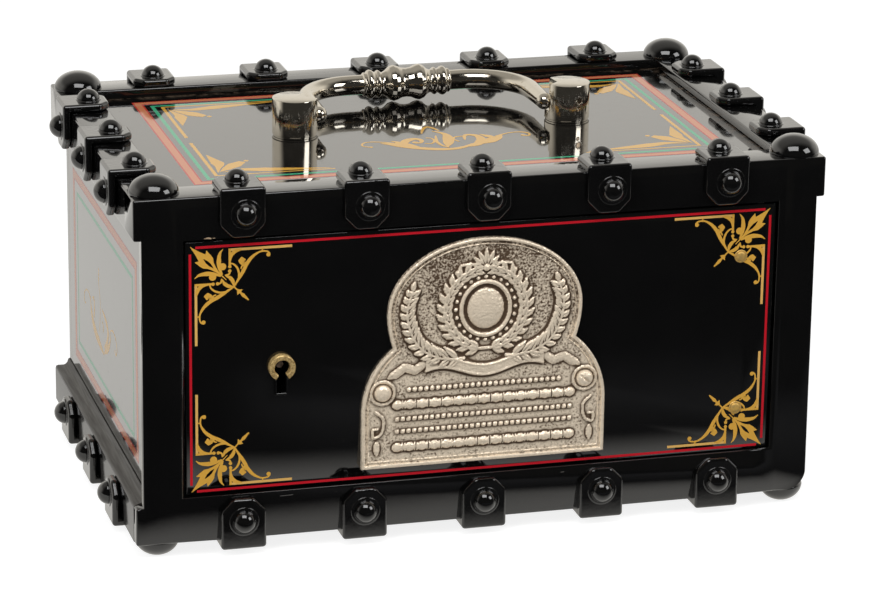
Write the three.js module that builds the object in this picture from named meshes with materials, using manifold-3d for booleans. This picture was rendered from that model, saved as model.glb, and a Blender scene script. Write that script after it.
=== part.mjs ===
import * as THREE from 'three';
import { mergeVertices } from 'three/addons/utils/BufferGeometryUtils.js';
import Module from 'manifold-3d';

// A cast-iron strongbox with banded edges, a hinged front door and a drop handle.
// Millimetres. +X runs right along the front, the door faces -Y and +Z is up.
// z = 0 is the tip of the feet, and the case stands centred on the origin.

// Case, measured over the edge bands
const CASE_WIDTH = 355;
const CASE_DEPTH = 228;
const CASE_HEIGHT = 178;
const WALL = 6;
const FLOOR = 6;
const ROOF = 5;
const ROOF_RECESS = 5;

// Edge bands and plinth
const BAND_PROUD = 6.9;
const BAND_WIDTH = 20.7;
const BAND_DROP = 20.8;
const PLINTH_HEIGHT = 19.5;
const PLINTH_SLOPE = 3;
const RIGHT_PLINTH_SETBACK = 9;

// Front casting
const FRONT_FLANGE = 7;
const FRONT_REBATE = 7;
const STILE_PROUD = 2.9;
const FRONT_CORNER_RADIUS = 11;
const STOP_LIP = 5;
const STOP_LIP_DEPTH = 3.8;

// Door opening, door and hinge
const LEFT_STILE_WIDTH = 24.9;
const RIGHT_STILE_WIDTH = 23.9;
const OPENING_SILL = 23.7;
const OPENING_HEAD = 22.4;
const DOOR_THICKNESS = 8;
const DOOR_SINK = 2;
const DOOR_GAP = 0.8;
const HINGE_INSET = 8;
const HINGE_LIP_CLEARANCE = 10;
const PIVOT_RADIUS = 2.5;
const PIVOT_REACH = 7;
const HINGE_BAR_WIDTH = 13;
const HINGE_BAR_THICKNESS = 4;
const HINGE_BAR_END_GAP = 8;
const HINGE_BAR_OFFSET = 4;

// Rivets that hold the hinge bar, measured from the door's top and bottom edges
const UPPER_RIVET_DROP = 26.7;
const LOWER_RIVET_RISE = 22.6;
const RIVET_HEAD_RADIUS = 2.75;
const RIVET_HEAD_HEIGHT = 1.4;
const RIVET_SHANK_RADIUS = 1.8;

// Corner straps with their domed rivet heads
const STRAP_WIDTH = 23;
const STRAP_THICKNESS = 4;
const STRAP_REACH = 21;
const STRAP_DROP = 21;
const STRAP_SIDE_CHAMFER = 6;
const STRAP_TOP_CHAMFER = 5;
const STRAP_EDGE_CHAMFER = 1.2;
const STRAP_PITCH = 62;
const FRONT_STRAP_COUNT = 5;
const SIDE_STRAP_COUNT = 3;
const HEAD_RADIUS = 6.2;
const HEAD_HEIGHT = 6;
const HEAD_INSET = 11;
const HEAD_DROP = 9;
const LOWER_STRAP_SINK = 4.5;
const LOWER_STRAP_REACH = 18;
const LOWER_HEAD_HEIGHT = 10.2;
const FRONT_LOWER_STRAP_TOP = 22;
const SIDE_LOWER_STRAP_TOP = 18;

// Corner studs and feet
const STUD_RADIUS = 12.6;
const STUD_HEIGHT = 9.2;
const STUD_INSET = 12.7;
const STUD_SPIGOT_RADIUS = 3;
const STUD_SPIGOT_LENGTH = 4;
const FOOT_HEIGHT = 8.6;

// Handle
const HANDLE_X = 3.7;
const HANDLE_Y = 3.5;
const POST_HALF_SPACING = 73.3;
const POST_RADIUS = 11.8;
const POST_HEIGHT = 20;
const POST_SHANK_RADIUS = 5;
const POST_NUT_RADIUS = 9;
const POST_NUT_HEIGHT = 6;
const POST_SHANK_SHOW = 2;
const PIVOT_HEIGHT = 10;
const BITE_FLOOR = 5.6;
const BITE_INNER = 5.5;
const BITE_SETBACK = 0.5;
const BITE_FRONT_ANGLE = 46;
const BITE_REAR_ANGLE = 8.5;
const BAIL_INSET = 12.6;
const BAIL_REACH = 53.5;
const BAIL_BEND_RADIUS = 30;
const BAIL_RADIUS = 5.2;
const BAIL_END_RADIUS = 4;
const BAIL_STUB_RADIUS = 3.8;
const BAIL_STUB_DEPTH = 7;
const GRIP_WAIST_RADIUS = 7.6;
const GRIP_BULB_RADIUS = 9.5;
const GRIP_COVE_RADIUS = 5.9;
const GRIP_RING_RADIUS = 7.5;
const GRIP_BULB_X = 7;
const GRIP_COVE_X = 15.2;
const GRIP_RING_X = 20.5;
const GRIP_END_X = 23.5;

// Keyhole and lock
const KEY_FROM_OPENING = 48.7;
const KEY_BELOW_MIDDLE = 1.65;
const KEYHOLE_RADIUS = 4;
const KEY_SLOT_WIDTH = 4.6;
const KEY_SLOT_DROP = 13.8;
const DRILL_PIN_RADIUS = 1.85;
const DRILL_PIN_RECESS = 3;
const RING_RADIUS = 6.7;
const RING_THICKNESS = 1.8;
const RING_GAP_HALF_ANGLE = 32;
const LOCK_LEFT = 42.1;
const LOCK_RIGHT = 30.1;
const LOCK_BELOW = 28;
const LOCK_ABOVE = 30;
const LOCK_DEPTH = 14;
const LOCK_PLATE = 2;
const LOCK_WALL = 3;
const LOCK_BOSS = 6.4;
const LOCK_SCREW_INSET = 3.4;
const LOCK_SCREW_RADIUS = 1.25;
const LOCK_SCREW_HEAD_RADIUS = 2.6;
const LOCK_SCREW_HEAD_HEIGHT = 1.4;
const LOCK_SCREW_DEPTH = 5;
const BOLT_RISE = 12;
const BOLT_HEIGHT = 12;
const BOLT_THICKNESS = 4;
const BOLT_TRAVEL = 9;
const BOLT_LENGTH = 56;
const TALON_RADIUS = 6.9;
const BOLT_STUMP = 3;
const STUMP_FROM_KEY = 16;
const STUMP_RISE = 3;
const LEVER_COUNT = 3;
const LEVER_THICKNESS = 1.3;
const LEVER_PIVOT_FROM_KEY = 18;
const LEVER_PIVOT_RISE = 20;
const LEVER_PIVOT_RADIUS = 2.3;
const LEVER_EYE_RADIUS = 6;
const LEVER_REACH = 52;
const LEVER_BELLY_DROP = 3;
const LEVER_POCKET_RISE = 5;

// Nameplate, set between the door's top and bottom edges
const PLATE_HALF_WIDTH = 63.3;
const PLATE_TOP_MARGIN = 7;
const PLATE_BOTTOM_MARGIN = 6.1;
const PLATE_SHOULDER_RISE = 28.8;
const PLATE_SHOULDER_RADIUS = 43;
const PLATE_WAIST_INSET = 16;
const PLATE_ARCH_INSET = 13;
const PLATE_ARCH_RISE = 36.8;
const PLATE_THICKNESS = 2.2;
const PLATE_RIM_WIDTH = 1.5;
const PLATE_RIM_HEIGHT = 0.7;
const PLATE_SCREW_INSET = 10.8;
const PLATE_SCREW_RISE = 39.6;
const PLATE_SCREW_RADIUS = 4.2;
const PLATE_SCREW_HEAD = 2.4;
const PLATE_SCREW_SHANK = 1.6;
const PLATE_SCREW_DEPTH = 6;
const PLATE_SLOT_WIDTH = 1.1;
const PLATE_SLOT_DEPTH = 0.8;

// Clearances, and how far a joined piece is rooted or a cut runs past a face
const SEAT = 0.2;
const TURNED_SEAT = 0.3;
const RUNNING = 0.3;
const EMBED = 0.6;
const OVERCUT = 1;

// Places worked out from the sizes above
const HALF_WIDTH = CASE_WIDTH / 2;
const HALF_DEPTH = CASE_DEPTH / 2;
const WALL_X = HALF_WIDTH - BAND_PROUD;
const INNER_X = WALL_X - WALL;
const BACK_Y = HALF_DEPTH - BAND_PROUD;
const INNER_BACK_Y = BACK_Y - WALL;
const ROOF_TOP = CASE_HEIGHT - ROOF_RECESS;
const ROOF_UNDER = ROOF_TOP - ROOF;
const BAND_BOTTOM = CASE_HEIGHT - BAND_DROP;
const BAND_INNER_Y = HALF_DEPTH - BAND_WIDTH;
const FRONT_Y = -HALF_DEPTH;
const FLANGE_BACK_Y = FRONT_Y + FRONT_FLANGE;
const FRAME_BACK_Y = FLANGE_BACK_Y + FRONT_REBATE;
const STILE_X = WALL_X + STILE_PROUD;
const OPENING_LEFT = LEFT_STILE_WIDTH - HALF_WIDTH;
const OPENING_RIGHT = HALF_WIDTH - RIGHT_STILE_WIDTH;
const OPENING_TOP = CASE_HEIGHT - OPENING_HEAD;
const DOOR_LEFT = OPENING_LEFT + DOOR_GAP;
const DOOR_RIGHT = OPENING_RIGHT - DOOR_GAP;
const DOOR_BOTTOM = OPENING_SILL + DOOR_GAP;
const DOOR_TOP = OPENING_TOP - DOOR_GAP;
const DOOR_FRONT_Y = FRONT_Y + DOOR_SINK;
const DOOR_BACK_Y = DOOR_FRONT_Y + DOOR_THICKNESS;
const HINGE_X = DOOR_RIGHT - HINGE_INSET;
const HINGE_Y = DOOR_FRONT_Y + DOOR_THICKNESS / 2;
const HINGE_BAR_RIGHT = HINGE_X - HINGE_BAR_OFFSET;
const RIVET_X = HINGE_BAR_RIGHT - HINGE_BAR_WIDTH / 2;
const RIVET_HEIGHTS = [DOOR_TOP - UPPER_RIVET_DROP, DOOR_BOTTOM + LOWER_RIVET_RISE];
const LIP_FRONT_Y = FRAME_BACK_Y - STOP_LIP_DEPTH;
const BAIL_HALF_WIDTH = POST_HALF_SPACING - BAIL_INSET;
const KEY_X = OPENING_LEFT + KEY_FROM_OPENING;
const KEY_Z = (DOOR_TOP + DOOR_BOTTOM) / 2 - KEY_BELOW_MIDDLE;
const LOCK_FRONT_Y = DOOR_BACK_Y + SEAT;
const LOCK_CAP_Y = LOCK_FRONT_Y + LOCK_DEPTH;
const BOLT_FRONT_Y = FRAME_BACK_Y + 2 * SEAT;
const BOLT_BACK_Y = BOLT_FRONT_Y + BOLT_THICKNESS;
const BOLT_CENTRE_Z = KEY_Z + BOLT_RISE;
const BOLT_TIP_X = KEY_X - LOCK_LEFT - SEAT;
const STUMP_X = KEY_X - STUMP_FROM_KEY;
const STUMP_Z = BOLT_CENTRE_Z + STUMP_RISE;
const LEVER_PITCH = LEVER_THICKNESS + TURNED_SEAT;
const LEVER_PIVOT_X = KEY_X + LEVER_PIVOT_FROM_KEY;
const LEVER_PIVOT_Z = KEY_Z + LEVER_PIVOT_RISE;
const PLATE_TOP = DOOR_TOP - PLATE_TOP_MARGIN;
const PLATE_BOTTOM = DOOR_BOTTOM + PLATE_BOTTOM_MARGIN;
const PLATE_SHOULDER_START = PLATE_BOTTOM + PLATE_SHOULDER_RISE;
const PLATE_ARCH_SPRING = PLATE_TOP - PLATE_ARCH_RISE;
const PLATE_WAIST_HALF_WIDTH = PLATE_HALF_WIDTH - PLATE_WAIST_INSET;
const PLATE_ARCH_HALF_WIDTH = PLATE_HALF_WIDTH - PLATE_ARCH_INSET;
const PLATE_SCREW_X = PLATE_HALF_WIDTH - PLATE_SCREW_INSET;
const PLATE_SCREW_Z = PLATE_BOTTOM + PLATE_SCREW_RISE;
const BACKWARDS = Math.PI;
const QUARTER = Math.PI / 2;

// How finely round shapes are divided
const ROUND_SEGMENTS = 24;
const SMALL_SEGMENTS = 14;
const PIN_SEGMENTS = 12;
const BAIL_SEGMENTS = 16;
const BEND_STEPS = 12;
const GRIP_SEGMENTS = 20;
const GRIP_STEPS = 32;
const STUD_RINGS = 5;
const SHOULDER_STEPS = 6;
const CHEEK_STEPS = 3;
const ARCH_STEPS = 8;

const enamel = new THREE.MeshStandardMaterial({ color: 0x0b0b0c, roughness: 0.12, metalness: 0 });
const nickel = new THREE.MeshStandardMaterial({ color: 0xc9bfae, roughness: 0.18, metalness: 1 });
const brass = new THREE.MeshStandardMaterial({ color: 0xc79a3c, roughness: 0.3, metalness: 1 });
const steel = new THREE.MeshStandardMaterial({ color: 0x8b8d90, roughness: 0.4, metalness: 1 });
const gilt = new THREE.MeshStandardMaterial({ color: 0xc8923a, roughness: 0.35, metalness: 0.6 });

const wasm = await Module();
wasm.setup();

// Turning between meshes and solids

function signedVolume(positions, index) {
  const a = new THREE.Vector3();
  const b = new THREE.Vector3();
  const c = new THREE.Vector3();
  let volume = 0;
  for (let i = 0; i < index.length; i += 3) {
    a.fromArray(positions, index[i] * 3);
    b.fromArray(positions, index[i + 1] * 3);
    c.fromArray(positions, index[i + 2] * 3);
    volume += a.dot(b.cross(c)) / 6;
  }
  return volume;
}

function toSolid(geometry) {
  const bare = geometry.clone();
  bare.deleteAttribute('normal');
  bare.deleteAttribute('uv');
  const merged = mergeVertices(bare, 1e-4);
  const positions = merged.attributes.position.array;
  const triangles = [];
  for (let i = 0; i < merged.index.count; i += 3) {
    const [a, b, c] = [0, 1, 2].map((step) => merged.index.getX(i + step));
    if (a !== b && b !== c && c !== a) triangles.push(a, b, c);
  }
  if (signedVolume(positions, triangles) < 0) triangles.reverse();
  const mesh = new wasm.Mesh({
    numProp: 3,
    vertProperties: new Float32Array(positions),
    triVerts: new Uint32Array(triangles),
  });
  return new wasm.Manifold(mesh);
}

function toGeometry(solid) {
  const mesh = solid.getMesh();
  const geometry = new THREE.BufferGeometry();
  geometry.setAttribute('position', new THREE.BufferAttribute(new Float32Array(mesh.vertProperties), 3));
  geometry.setIndex(new THREE.BufferAttribute(new Uint32Array(mesh.triVerts), 1));
  geometry.computeVertexNormals();
  return geometry;
}

function joined(...solids) {
  return solids.reduce((whole, solid) => whole.add(solid));
}

// Simple shapes

function block(x0, x1, y0, y1, z0, z1) {
  const geometry = new THREE.BoxGeometry(x1 - x0, y1 - y0, z1 - z0);
  geometry.translate((x0 + x1) / 2, (y0 + y1) / 2, (z0 + z1) / 2);
  return toSolid(geometry);
}

function outline(points) {
  return new THREE.Shape(points.map(([u, v]) => new THREE.Vector2(u, v)));
}

function extrude(shape, depth, curveSegments = 12) {
  return new THREE.ExtrudeGeometry(shape, { depth, bevelEnabled: false, curveSegments });
}

// An outline drawn in (x, y), standing from z0 to z1
function prismZ(shape, z0, z1) {
  return toSolid(extrude(shape, z1 - z0).translate(0, 0, z0));
}

// An outline drawn in (x, z), running from y0 to y1
function prismY(shape, y0, y1, curveSegments = 12) {
  const geometry = extrude(shape, y1 - y0, curveSegments);
  geometry.rotateX(QUARTER);
  return toSolid(geometry.translate(0, y1, 0));
}

// An outline drawn in (y, z), running from x0 to x1
function prismX(shape, x0, x1) {
  const geometry = extrude(shape, x1 - x0);
  geometry.rotateX(QUARTER);
  geometry.rotateZ(QUARTER);
  return toSolid(geometry.translate(x0, 0, 0));
}

function rodZ(radius, x, y, z0, z1, segments = ROUND_SEGMENTS) {
  const geometry = new THREE.CylinderGeometry(radius, radius, z1 - z0, segments);
  geometry.rotateX(QUARTER);
  return toSolid(geometry.translate(x, y, (z0 + z1) / 2));
}

function rodY(radius, x, z, y0, y1, segments = ROUND_SEGMENTS) {
  const geometry = new THREE.CylinderGeometry(radius, radius, y1 - y0, segments);
  return toSolid(geometry.translate(x, (y0 + y1) / 2, z));
}

function rodX(radius, y, z, x0, x1, segments = ROUND_SEGMENTS) {
  const geometry = new THREE.CylinderGeometry(radius, radius, x1 - x0, segments);
  geometry.rotateZ(QUARTER);
  return toSolid(geometry.translate((x0 + x1) / 2, y, z));
}

// A dome that rises along +Y from y = 0, with a short drum below it to root it in what it sits on
function domeGeometry(radius, height, root, segments, rings) {
  const profile = [new THREE.Vector2(0, -root)];
  if (root > 0) profile.push(new THREE.Vector2(radius, -root));
  for (let ring = 0; ring < rings; ring += 1) {
    const angle = (QUARTER * ring) / rings;
    profile.push(new THREE.Vector2(radius * Math.cos(angle), height * Math.sin(angle)));
  }
  profile.push(new THREE.Vector2(0, height));
  return new THREE.LatheGeometry(profile, segments);
}

function domeUp(x, y, z, radius, height, root, segments = SMALL_SEGMENTS, rings = 3) {
  const geometry = domeGeometry(radius, height, root, segments, rings);
  geometry.rotateX(QUARTER);
  return toSolid(geometry.translate(x, y, z));
}

function domeFront(x, y, z, radius, height, root, segments = SMALL_SEGMENTS, rings = 3) {
  const geometry = domeGeometry(radius, height, root, segments, rings);
  geometry.rotateX(BACKWARDS);
  return toSolid(geometry.translate(x, y, z));
}

// The assembly

const strongbox = new THREE.Group();
const caseGroup = new THREE.Group();
caseGroup.position.z = FOOT_HEIGHT;
strongbox.add(caseGroup);

function addPiece(name, solid, material, group = caseGroup) {
  const piece = new THREE.Mesh(toGeometry(solid), material.clone());
  piece.name = name;
  group.add(piece);
  return piece;
}

// Turns a piece drawn for the front edge to another side of the case
const SIDES = {
  front: { turn: 0, x: 0, y: -HALF_DEPTH, straps: FRONT_STRAP_COUNT },
  right: { turn: QUARTER, x: HALF_WIDTH, y: 0, straps: SIDE_STRAP_COUNT },
  rear: { turn: BACKWARDS, x: 0, y: HALF_DEPTH, straps: FRONT_STRAP_COUNT },
  left: { turn: -QUARTER, x: -HALF_WIDTH, y: 0, straps: SIDE_STRAP_COUNT },
};

function placeOnSide(piece, side) {
  piece.position.set(side.x, side.y, 0);
  piece.rotation.z = side.turn;
  return piece;
}

function strapOffsets(side) {
  const middle = (side.straps - 1) / 2;
  return Array.from({ length: side.straps }, (unused, i) => (i - middle) * STRAP_PITCH);
}

// Corner straps. Drawn along X with the band's face at y = 0 and its top at z = 0.

function strapCornerCuts(halfWidth, outerY, innerY, bottomZ, topZ) {
  const cuts = [];
  for (const hand of [-1, 1]) {
    const side = outline([
      [hand * halfWidth, bottomZ],
      [hand * (halfWidth - STRAP_SIDE_CHAMFER), bottomZ],
      [hand * halfWidth, bottomZ + STRAP_SIDE_CHAMFER],
      [hand * (halfWidth + OVERCUT), bottomZ + STRAP_SIDE_CHAMFER],
      [hand * (halfWidth + OVERCUT), bottomZ - OVERCUT],
      [hand * (halfWidth - STRAP_SIDE_CHAMFER), bottomZ - OVERCUT],
    ]);
    cuts.push(prismY(side, outerY - OVERCUT, OVERCUT));
    const top = outline([
      [hand * (halfWidth - STRAP_TOP_CHAMFER), innerY],
      [hand * halfWidth, innerY - STRAP_TOP_CHAMFER],
      [hand * (halfWidth + OVERCUT), innerY - STRAP_TOP_CHAMFER],
      [hand * (halfWidth + OVERCUT), innerY + OVERCUT],
      [hand * (halfWidth - STRAP_TOP_CHAMFER), innerY + OVERCUT],
    ]);
    cuts.push(prismZ(top, -OVERCUT, topZ + OVERCUT));
  }
  return cuts;
}

function topStrap() {
  const outerY = -TURNED_SEAT - STRAP_THICKNESS;
  const topZ = TURNED_SEAT + STRAP_THICKNESS;
  const section = outline([
    [outerY, -STRAP_DROP],
    [-TURNED_SEAT, -STRAP_DROP],
    [-TURNED_SEAT, TURNED_SEAT],
    [STRAP_REACH, TURNED_SEAT],
    [STRAP_REACH, topZ],
    [outerY + STRAP_EDGE_CHAMFER, topZ],
    [outerY, topZ - STRAP_EDGE_CHAMFER],
  ]);
  let strap = prismX(section, -STRAP_WIDTH / 2, STRAP_WIDTH / 2);
  for (const cut of strapCornerCuts(STRAP_WIDTH / 2, outerY, STRAP_REACH, -STRAP_DROP, topZ)) {
    strap = strap.subtract(cut);
  }
  const topHead = domeUp(0, HEAD_INSET, topZ, HEAD_RADIUS, HEAD_HEIGHT, EMBED);
  const sideHead = domeFront(0, outerY, -HEAD_DROP, HEAD_RADIUS, HEAD_HEIGHT, EMBED);
  return joined(strap, topHead, sideHead);
}

// Lower strap, drawn with the case underside at z = 0. It is rooted in the bar or casting behind it.
function lowerStrap(offset, topZ) {
  const outerY = -STRAP_THICKNESS;
  const halfWidth = STRAP_WIDTH / 2;
  const leg = outline([
    [offset - halfWidth, -LOWER_STRAP_SINK],
    [offset + halfWidth, -LOWER_STRAP_SINK],
    [offset + halfWidth, topZ - STRAP_SIDE_CHAMFER],
    [offset + halfWidth - STRAP_SIDE_CHAMFER, topZ],
    [offset - halfWidth + STRAP_SIDE_CHAMFER, topZ],
    [offset - halfWidth, topZ - STRAP_SIDE_CHAMFER],
  ]);
  const outerLeg = prismY(leg, outerY, EMBED).subtract(
    block(
      offset - halfWidth - OVERCUT,
      offset + halfWidth + OVERCUT,
      -SEAT,
      EMBED + OVERCUT,
      -LOWER_STRAP_SINK - OVERCUT,
      -SEAT,
    ),
  );
  const underLeg = block(
    offset - halfWidth,
    offset + halfWidth,
    outerY,
    LOWER_STRAP_REACH,
    -LOWER_STRAP_SINK,
    -TURNED_SEAT,
  );
  const head = domeFront(offset, outerY, LOWER_HEAD_HEIGHT, HEAD_RADIUS, HEAD_HEIGHT, EMBED);
  return joined(outerLeg, underLeg, head);
}

function addTopStraps() {
  for (const [sideName, side] of Object.entries(SIDES)) {
    strapOffsets(side).forEach((offset, i) => {
      const piece = addPiece(`${sideName}_strap_${i + 1}`, topStrap(), enamel);
      const along = new THREE.Vector2(offset, 0).rotateAround(new THREE.Vector2(0, 0), side.turn);
      piece.position.set(side.x + along.x, side.y + along.y, CASE_HEIGHT);
      piece.rotation.z = side.turn;
    });
  }
}

// Front casting: a flanged plate with the door opening, its top leg, corner returns and stop lip

function frontFlangeOutline() {
  const shape = new THREE.Shape();
  shape.moveTo(-HALF_WIDTH, 0);
  shape.lineTo(STILE_X - FRONT_CORNER_RADIUS, 0);
  shape.absarc(STILE_X - FRONT_CORNER_RADIUS, FRONT_CORNER_RADIUS, FRONT_CORNER_RADIUS, -QUARTER, 0, false);
  shape.lineTo(STILE_X, BAND_BOTTOM);
  shape.lineTo(HALF_WIDTH, BAND_BOTTOM);
  shape.lineTo(HALF_WIDTH, CASE_HEIGHT);
  shape.lineTo(-HALF_WIDTH, CASE_HEIGHT);
  shape.lineTo(-HALF_WIDTH, BAND_BOTTOM);
  shape.lineTo(-STILE_X, BAND_BOTTOM);
  shape.lineTo(-STILE_X, PLINTH_HEIGHT);
  shape.lineTo(-HALF_WIDTH, PLINTH_HEIGHT);
  return shape;
}

function studSpigotHole(x, y) {
  const bottom = CASE_HEIGHT - STUD_SPIGOT_LENGTH - SEAT;
  return rodZ(STUD_SPIGOT_RADIUS + RUNNING, x, y, bottom, CASE_HEIGHT + OVERCUT, PIN_SEGMENTS);
}

function footSpigotHole(x, y) {
  return rodZ(STUD_SPIGOT_RADIUS + RUNNING, x, y, -OVERCUT, STUD_SPIGOT_LENGTH + SEAT, PIN_SEGMENTS);
}

function frontFrame() {
  const flange = prismY(frontFlangeOutline(), FRONT_Y, FLANGE_BACK_Y, 6);
  const legRoot = FLANGE_BACK_Y - EMBED;
  const topLeg = block(-HALF_WIDTH, HALF_WIDTH, legRoot, -BAND_INNER_Y, ROOF_TOP + SEAT, CASE_HEIGHT);
  const returns = [-1, 1].map((hand) => {
    const outer = hand * HALF_WIDTH;
    const inner = hand * (WALL_X + SEAT);
    const left = Math.min(outer, inner);
    const right = Math.max(outer, inner);
    return block(left, right, legRoot, -BAND_INNER_Y, BAND_BOTTOM, CASE_HEIGHT);
  });
  const rebate = block(
    -INNER_X + SEAT,
    INNER_X - SEAT,
    legRoot,
    FRAME_BACK_Y,
    FLOOR + SEAT,
    ROOF_UNDER - SEAT,
  );
  let casting = joined(flange, topLeg, rebate, ...returns);
  casting = casting.subtract(
    block(OPENING_LEFT, OPENING_RIGHT, FRONT_Y - OVERCUT, LIP_FRONT_Y, OPENING_SILL, OPENING_TOP),
  );
  casting = casting.subtract(
    block(
      OPENING_LEFT + STOP_LIP,
      OPENING_RIGHT,
      FRONT_Y,
      FRAME_BACK_Y + OVERCUT,
      OPENING_SILL + STOP_LIP,
      OPENING_TOP - STOP_LIP,
    ),
  );
  casting = casting.subtract(
    block(
      HINGE_X - HINGE_LIP_CLEARANCE,
      OPENING_RIGHT,
      FRONT_Y,
      FRAME_BACK_Y + OVERCUT,
      OPENING_SILL,
      OPENING_TOP,
    ),
  );
  const pivotHole = PIVOT_RADIUS + RUNNING;
  casting = casting.subtract(
    rodZ(pivotHole, HINGE_X, HINGE_Y, OPENING_TOP - OVERCUT, OPENING_TOP + PIVOT_REACH, PIN_SEGMENTS),
  );
  casting = casting.subtract(
    rodZ(pivotHole, HINGE_X, HINGE_Y, OPENING_SILL - PIVOT_REACH, OPENING_SILL + OVERCUT, PIN_SEGMENTS),
  );
  for (const hand of [-1, 1]) {
    const x = hand * (HALF_WIDTH - STUD_INSET);
    const y = FRONT_Y + STUD_INSET;
    casting = casting.subtract(studSpigotHole(x, y));
  }
  for (const offset of strapOffsets(SIDES.front)) {
    casting = casting.add(lowerStrap(offset, FRONT_LOWER_STRAP_TOP).translate([0, FRONT_Y, 0]));
  }
  return casting;
}

// Walls, roof and floor

function addShell() {
  const wallFront = FLANGE_BACK_Y + SEAT;
  const wallBottom = FLOOR + SEAT;
  const wallTop = ROOF_UNDER - SEAT;
  const sideRear = INNER_BACK_Y - SEAT;
  const leftSide = block(-WALL_X, -INNER_X, wallFront, sideRear, wallBottom, wallTop);
  const rightSide = block(INNER_X, WALL_X, wallFront, sideRear, wallBottom, wallTop);
  addPiece('left_side_panel', leftSide, enamel);
  addPiece('right_side_panel', rightSide, enamel);
  addPiece('back_panel', block(-WALL_X, WALL_X, INNER_BACK_Y, BACK_Y, wallBottom, wallTop), enamel);
  let roof = block(-WALL_X, WALL_X, wallFront, BACK_Y, ROOF_UNDER, ROOF_TOP);
  for (const hand of [-1, 1]) {
    const x = HANDLE_X + hand * POST_HALF_SPACING;
    const hole = rodZ(POST_SHANK_RADIUS + RUNNING, x, HANDLE_Y, ROOF_UNDER - OVERCUT, ROOF_TOP + OVERCUT);
    roof = roof.subtract(hole);
  }
  addPiece('top_panel', roof, enamel);
  let floor = block(-WALL_X, WALL_X, wallFront, BACK_Y, 0, FLOOR);
  for (const [x, y] of studPlaces()) {
    floor = floor.subtract(footSpigotHole(x, y));
  }
  addPiece('bottom_panel', floor, enamel);
}

// Top bands: angle sections drawn for the front edge and turned to their sides

function bandAngle(fromX, toX) {
  const section = outline([
    [0, BAND_BOTTOM],
    [BAND_PROUD - SEAT, BAND_BOTTOM],
    [BAND_PROUD - SEAT, ROOF_TOP + SEAT],
    [BAND_WIDTH, ROOF_TOP + SEAT],
    [BAND_WIDTH, CASE_HEIGHT],
    [0, CASE_HEIGHT],
  ]);
  return prismX(section, fromX, toX);
}

function rearBand() {
  let band = bandAngle(-HALF_WIDTH, HALF_WIDTH);
  for (const hand of [-1, 1]) {
    const outer = hand * HALF_WIDTH;
    const inner = hand * (WALL_X + SEAT);
    const left = Math.min(outer, inner);
    const right = Math.max(outer, inner);
    band = band.add(block(left, right, EMBED, BAND_WIDTH, BAND_BOTTOM, CASE_HEIGHT));
    const x = hand * (HALF_WIDTH - STUD_INSET);
    band = band.subtract(studSpigotHole(x, STUD_INSET));
  }
  return band;
}

function addTopBands() {
  const halfRun = BAND_INNER_Y - SEAT;
  placeOnSide(addPiece('left_top_band', bandAngle(-halfRun, halfRun), enamel), SIDES.left);
  placeOnSide(addPiece('right_top_band', bandAngle(-halfRun, halfRun), enamel), SIDES.right);
  placeOnSide(addPiece('rear_top_band', rearBand(), enamel), SIDES.rear);
}

// Plinth bars with a sloping top and the lower straps

function plinthBar(fromX, toX, side) {
  const section = outline([
    [0, 0],
    [BAND_PROUD - SEAT, 0],
    [BAND_PROUD - SEAT, PLINTH_HEIGHT + PLINTH_SLOPE],
    [0, PLINTH_HEIGHT],
  ]);
  let bar = prismX(section, fromX, toX);
  for (const offset of strapOffsets(side)) {
    bar = bar.add(lowerStrap(offset, SIDE_LOWER_STRAP_TOP));
  }
  return bar;
}

function addPlinth() {
  const toFront = -FLANGE_BACK_Y - SEAT;
  const left = plinthBar(-BACK_Y, toFront, SIDES.left);
  placeOnSide(addPiece('left_plinth_bar', left, enamel), SIDES.left);
  const right = plinthBar(-toFront + RIGHT_PLINTH_SETBACK, BACK_Y, SIDES.right);
  placeOnSide(addPiece('right_plinth_bar', right, enamel), SIDES.right);
  const rear = plinthBar(-HALF_WIDTH, HALF_WIDTH, SIDES.rear);
  placeOnSide(addPiece('rear_plinth_bar', rear, enamel), SIDES.rear);
}

// Corner studs on top and feet below

function studPlaces() {
  const x = HALF_WIDTH - STUD_INSET;
  const y = HALF_DEPTH - STUD_INSET;
  return [[-x, -y], [x, -y], [x, y], [-x, y]];
}

const CORNER_NAMES = ['front_left', 'front_right', 'rear_right', 'rear_left'];

function stud(x, y) {
  const seatZ = CASE_HEIGHT + SEAT;
  const tipZ = CASE_HEIGHT - STUD_SPIGOT_LENGTH;
  const spigot = rodZ(STUD_SPIGOT_RADIUS, x, y, tipZ, seatZ + EMBED, PIN_SEGMENTS);
  return joined(domeUp(x, y, seatZ, STUD_RADIUS, STUD_HEIGHT, 0, ROUND_SEGMENTS, STUD_RINGS), spigot);
}

// The same dome turned over, ground flat at the floor
function foot(x, y) {
  const seatZ = -SEAT;
  const dome = domeUp(0, 0, 0, STUD_RADIUS, STUD_HEIGHT, 0, ROUND_SEGMENTS, STUD_RINGS).rotate([180, 0, 0]);
  const ground = block(
    x - STUD_RADIUS,
    x + STUD_RADIUS,
    y - STUD_RADIUS,
    y + STUD_RADIUS,
    -FOOT_HEIGHT - STUD_HEIGHT,
    -FOOT_HEIGHT,
  );
  const spigot = rodZ(STUD_SPIGOT_RADIUS, x, y, seatZ - EMBED, STUD_SPIGOT_LENGTH, PIN_SEGMENTS);
  return joined(dome.translate([x, y, seatZ]).subtract(ground), spigot);
}

function addStudsAndFeet() {
  studPlaces().forEach(([x, y], i) => {
    addPiece(`${CORNER_NAMES[i]}_stud`, stud(x, y), enamel);
    addPiece(`${CORNER_NAMES[i]}_foot`, foot(x, y), enamel);
  });
}

// Handle posts. The bite opens inwards, upwards and to the rear, so the bail can swing up.

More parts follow.
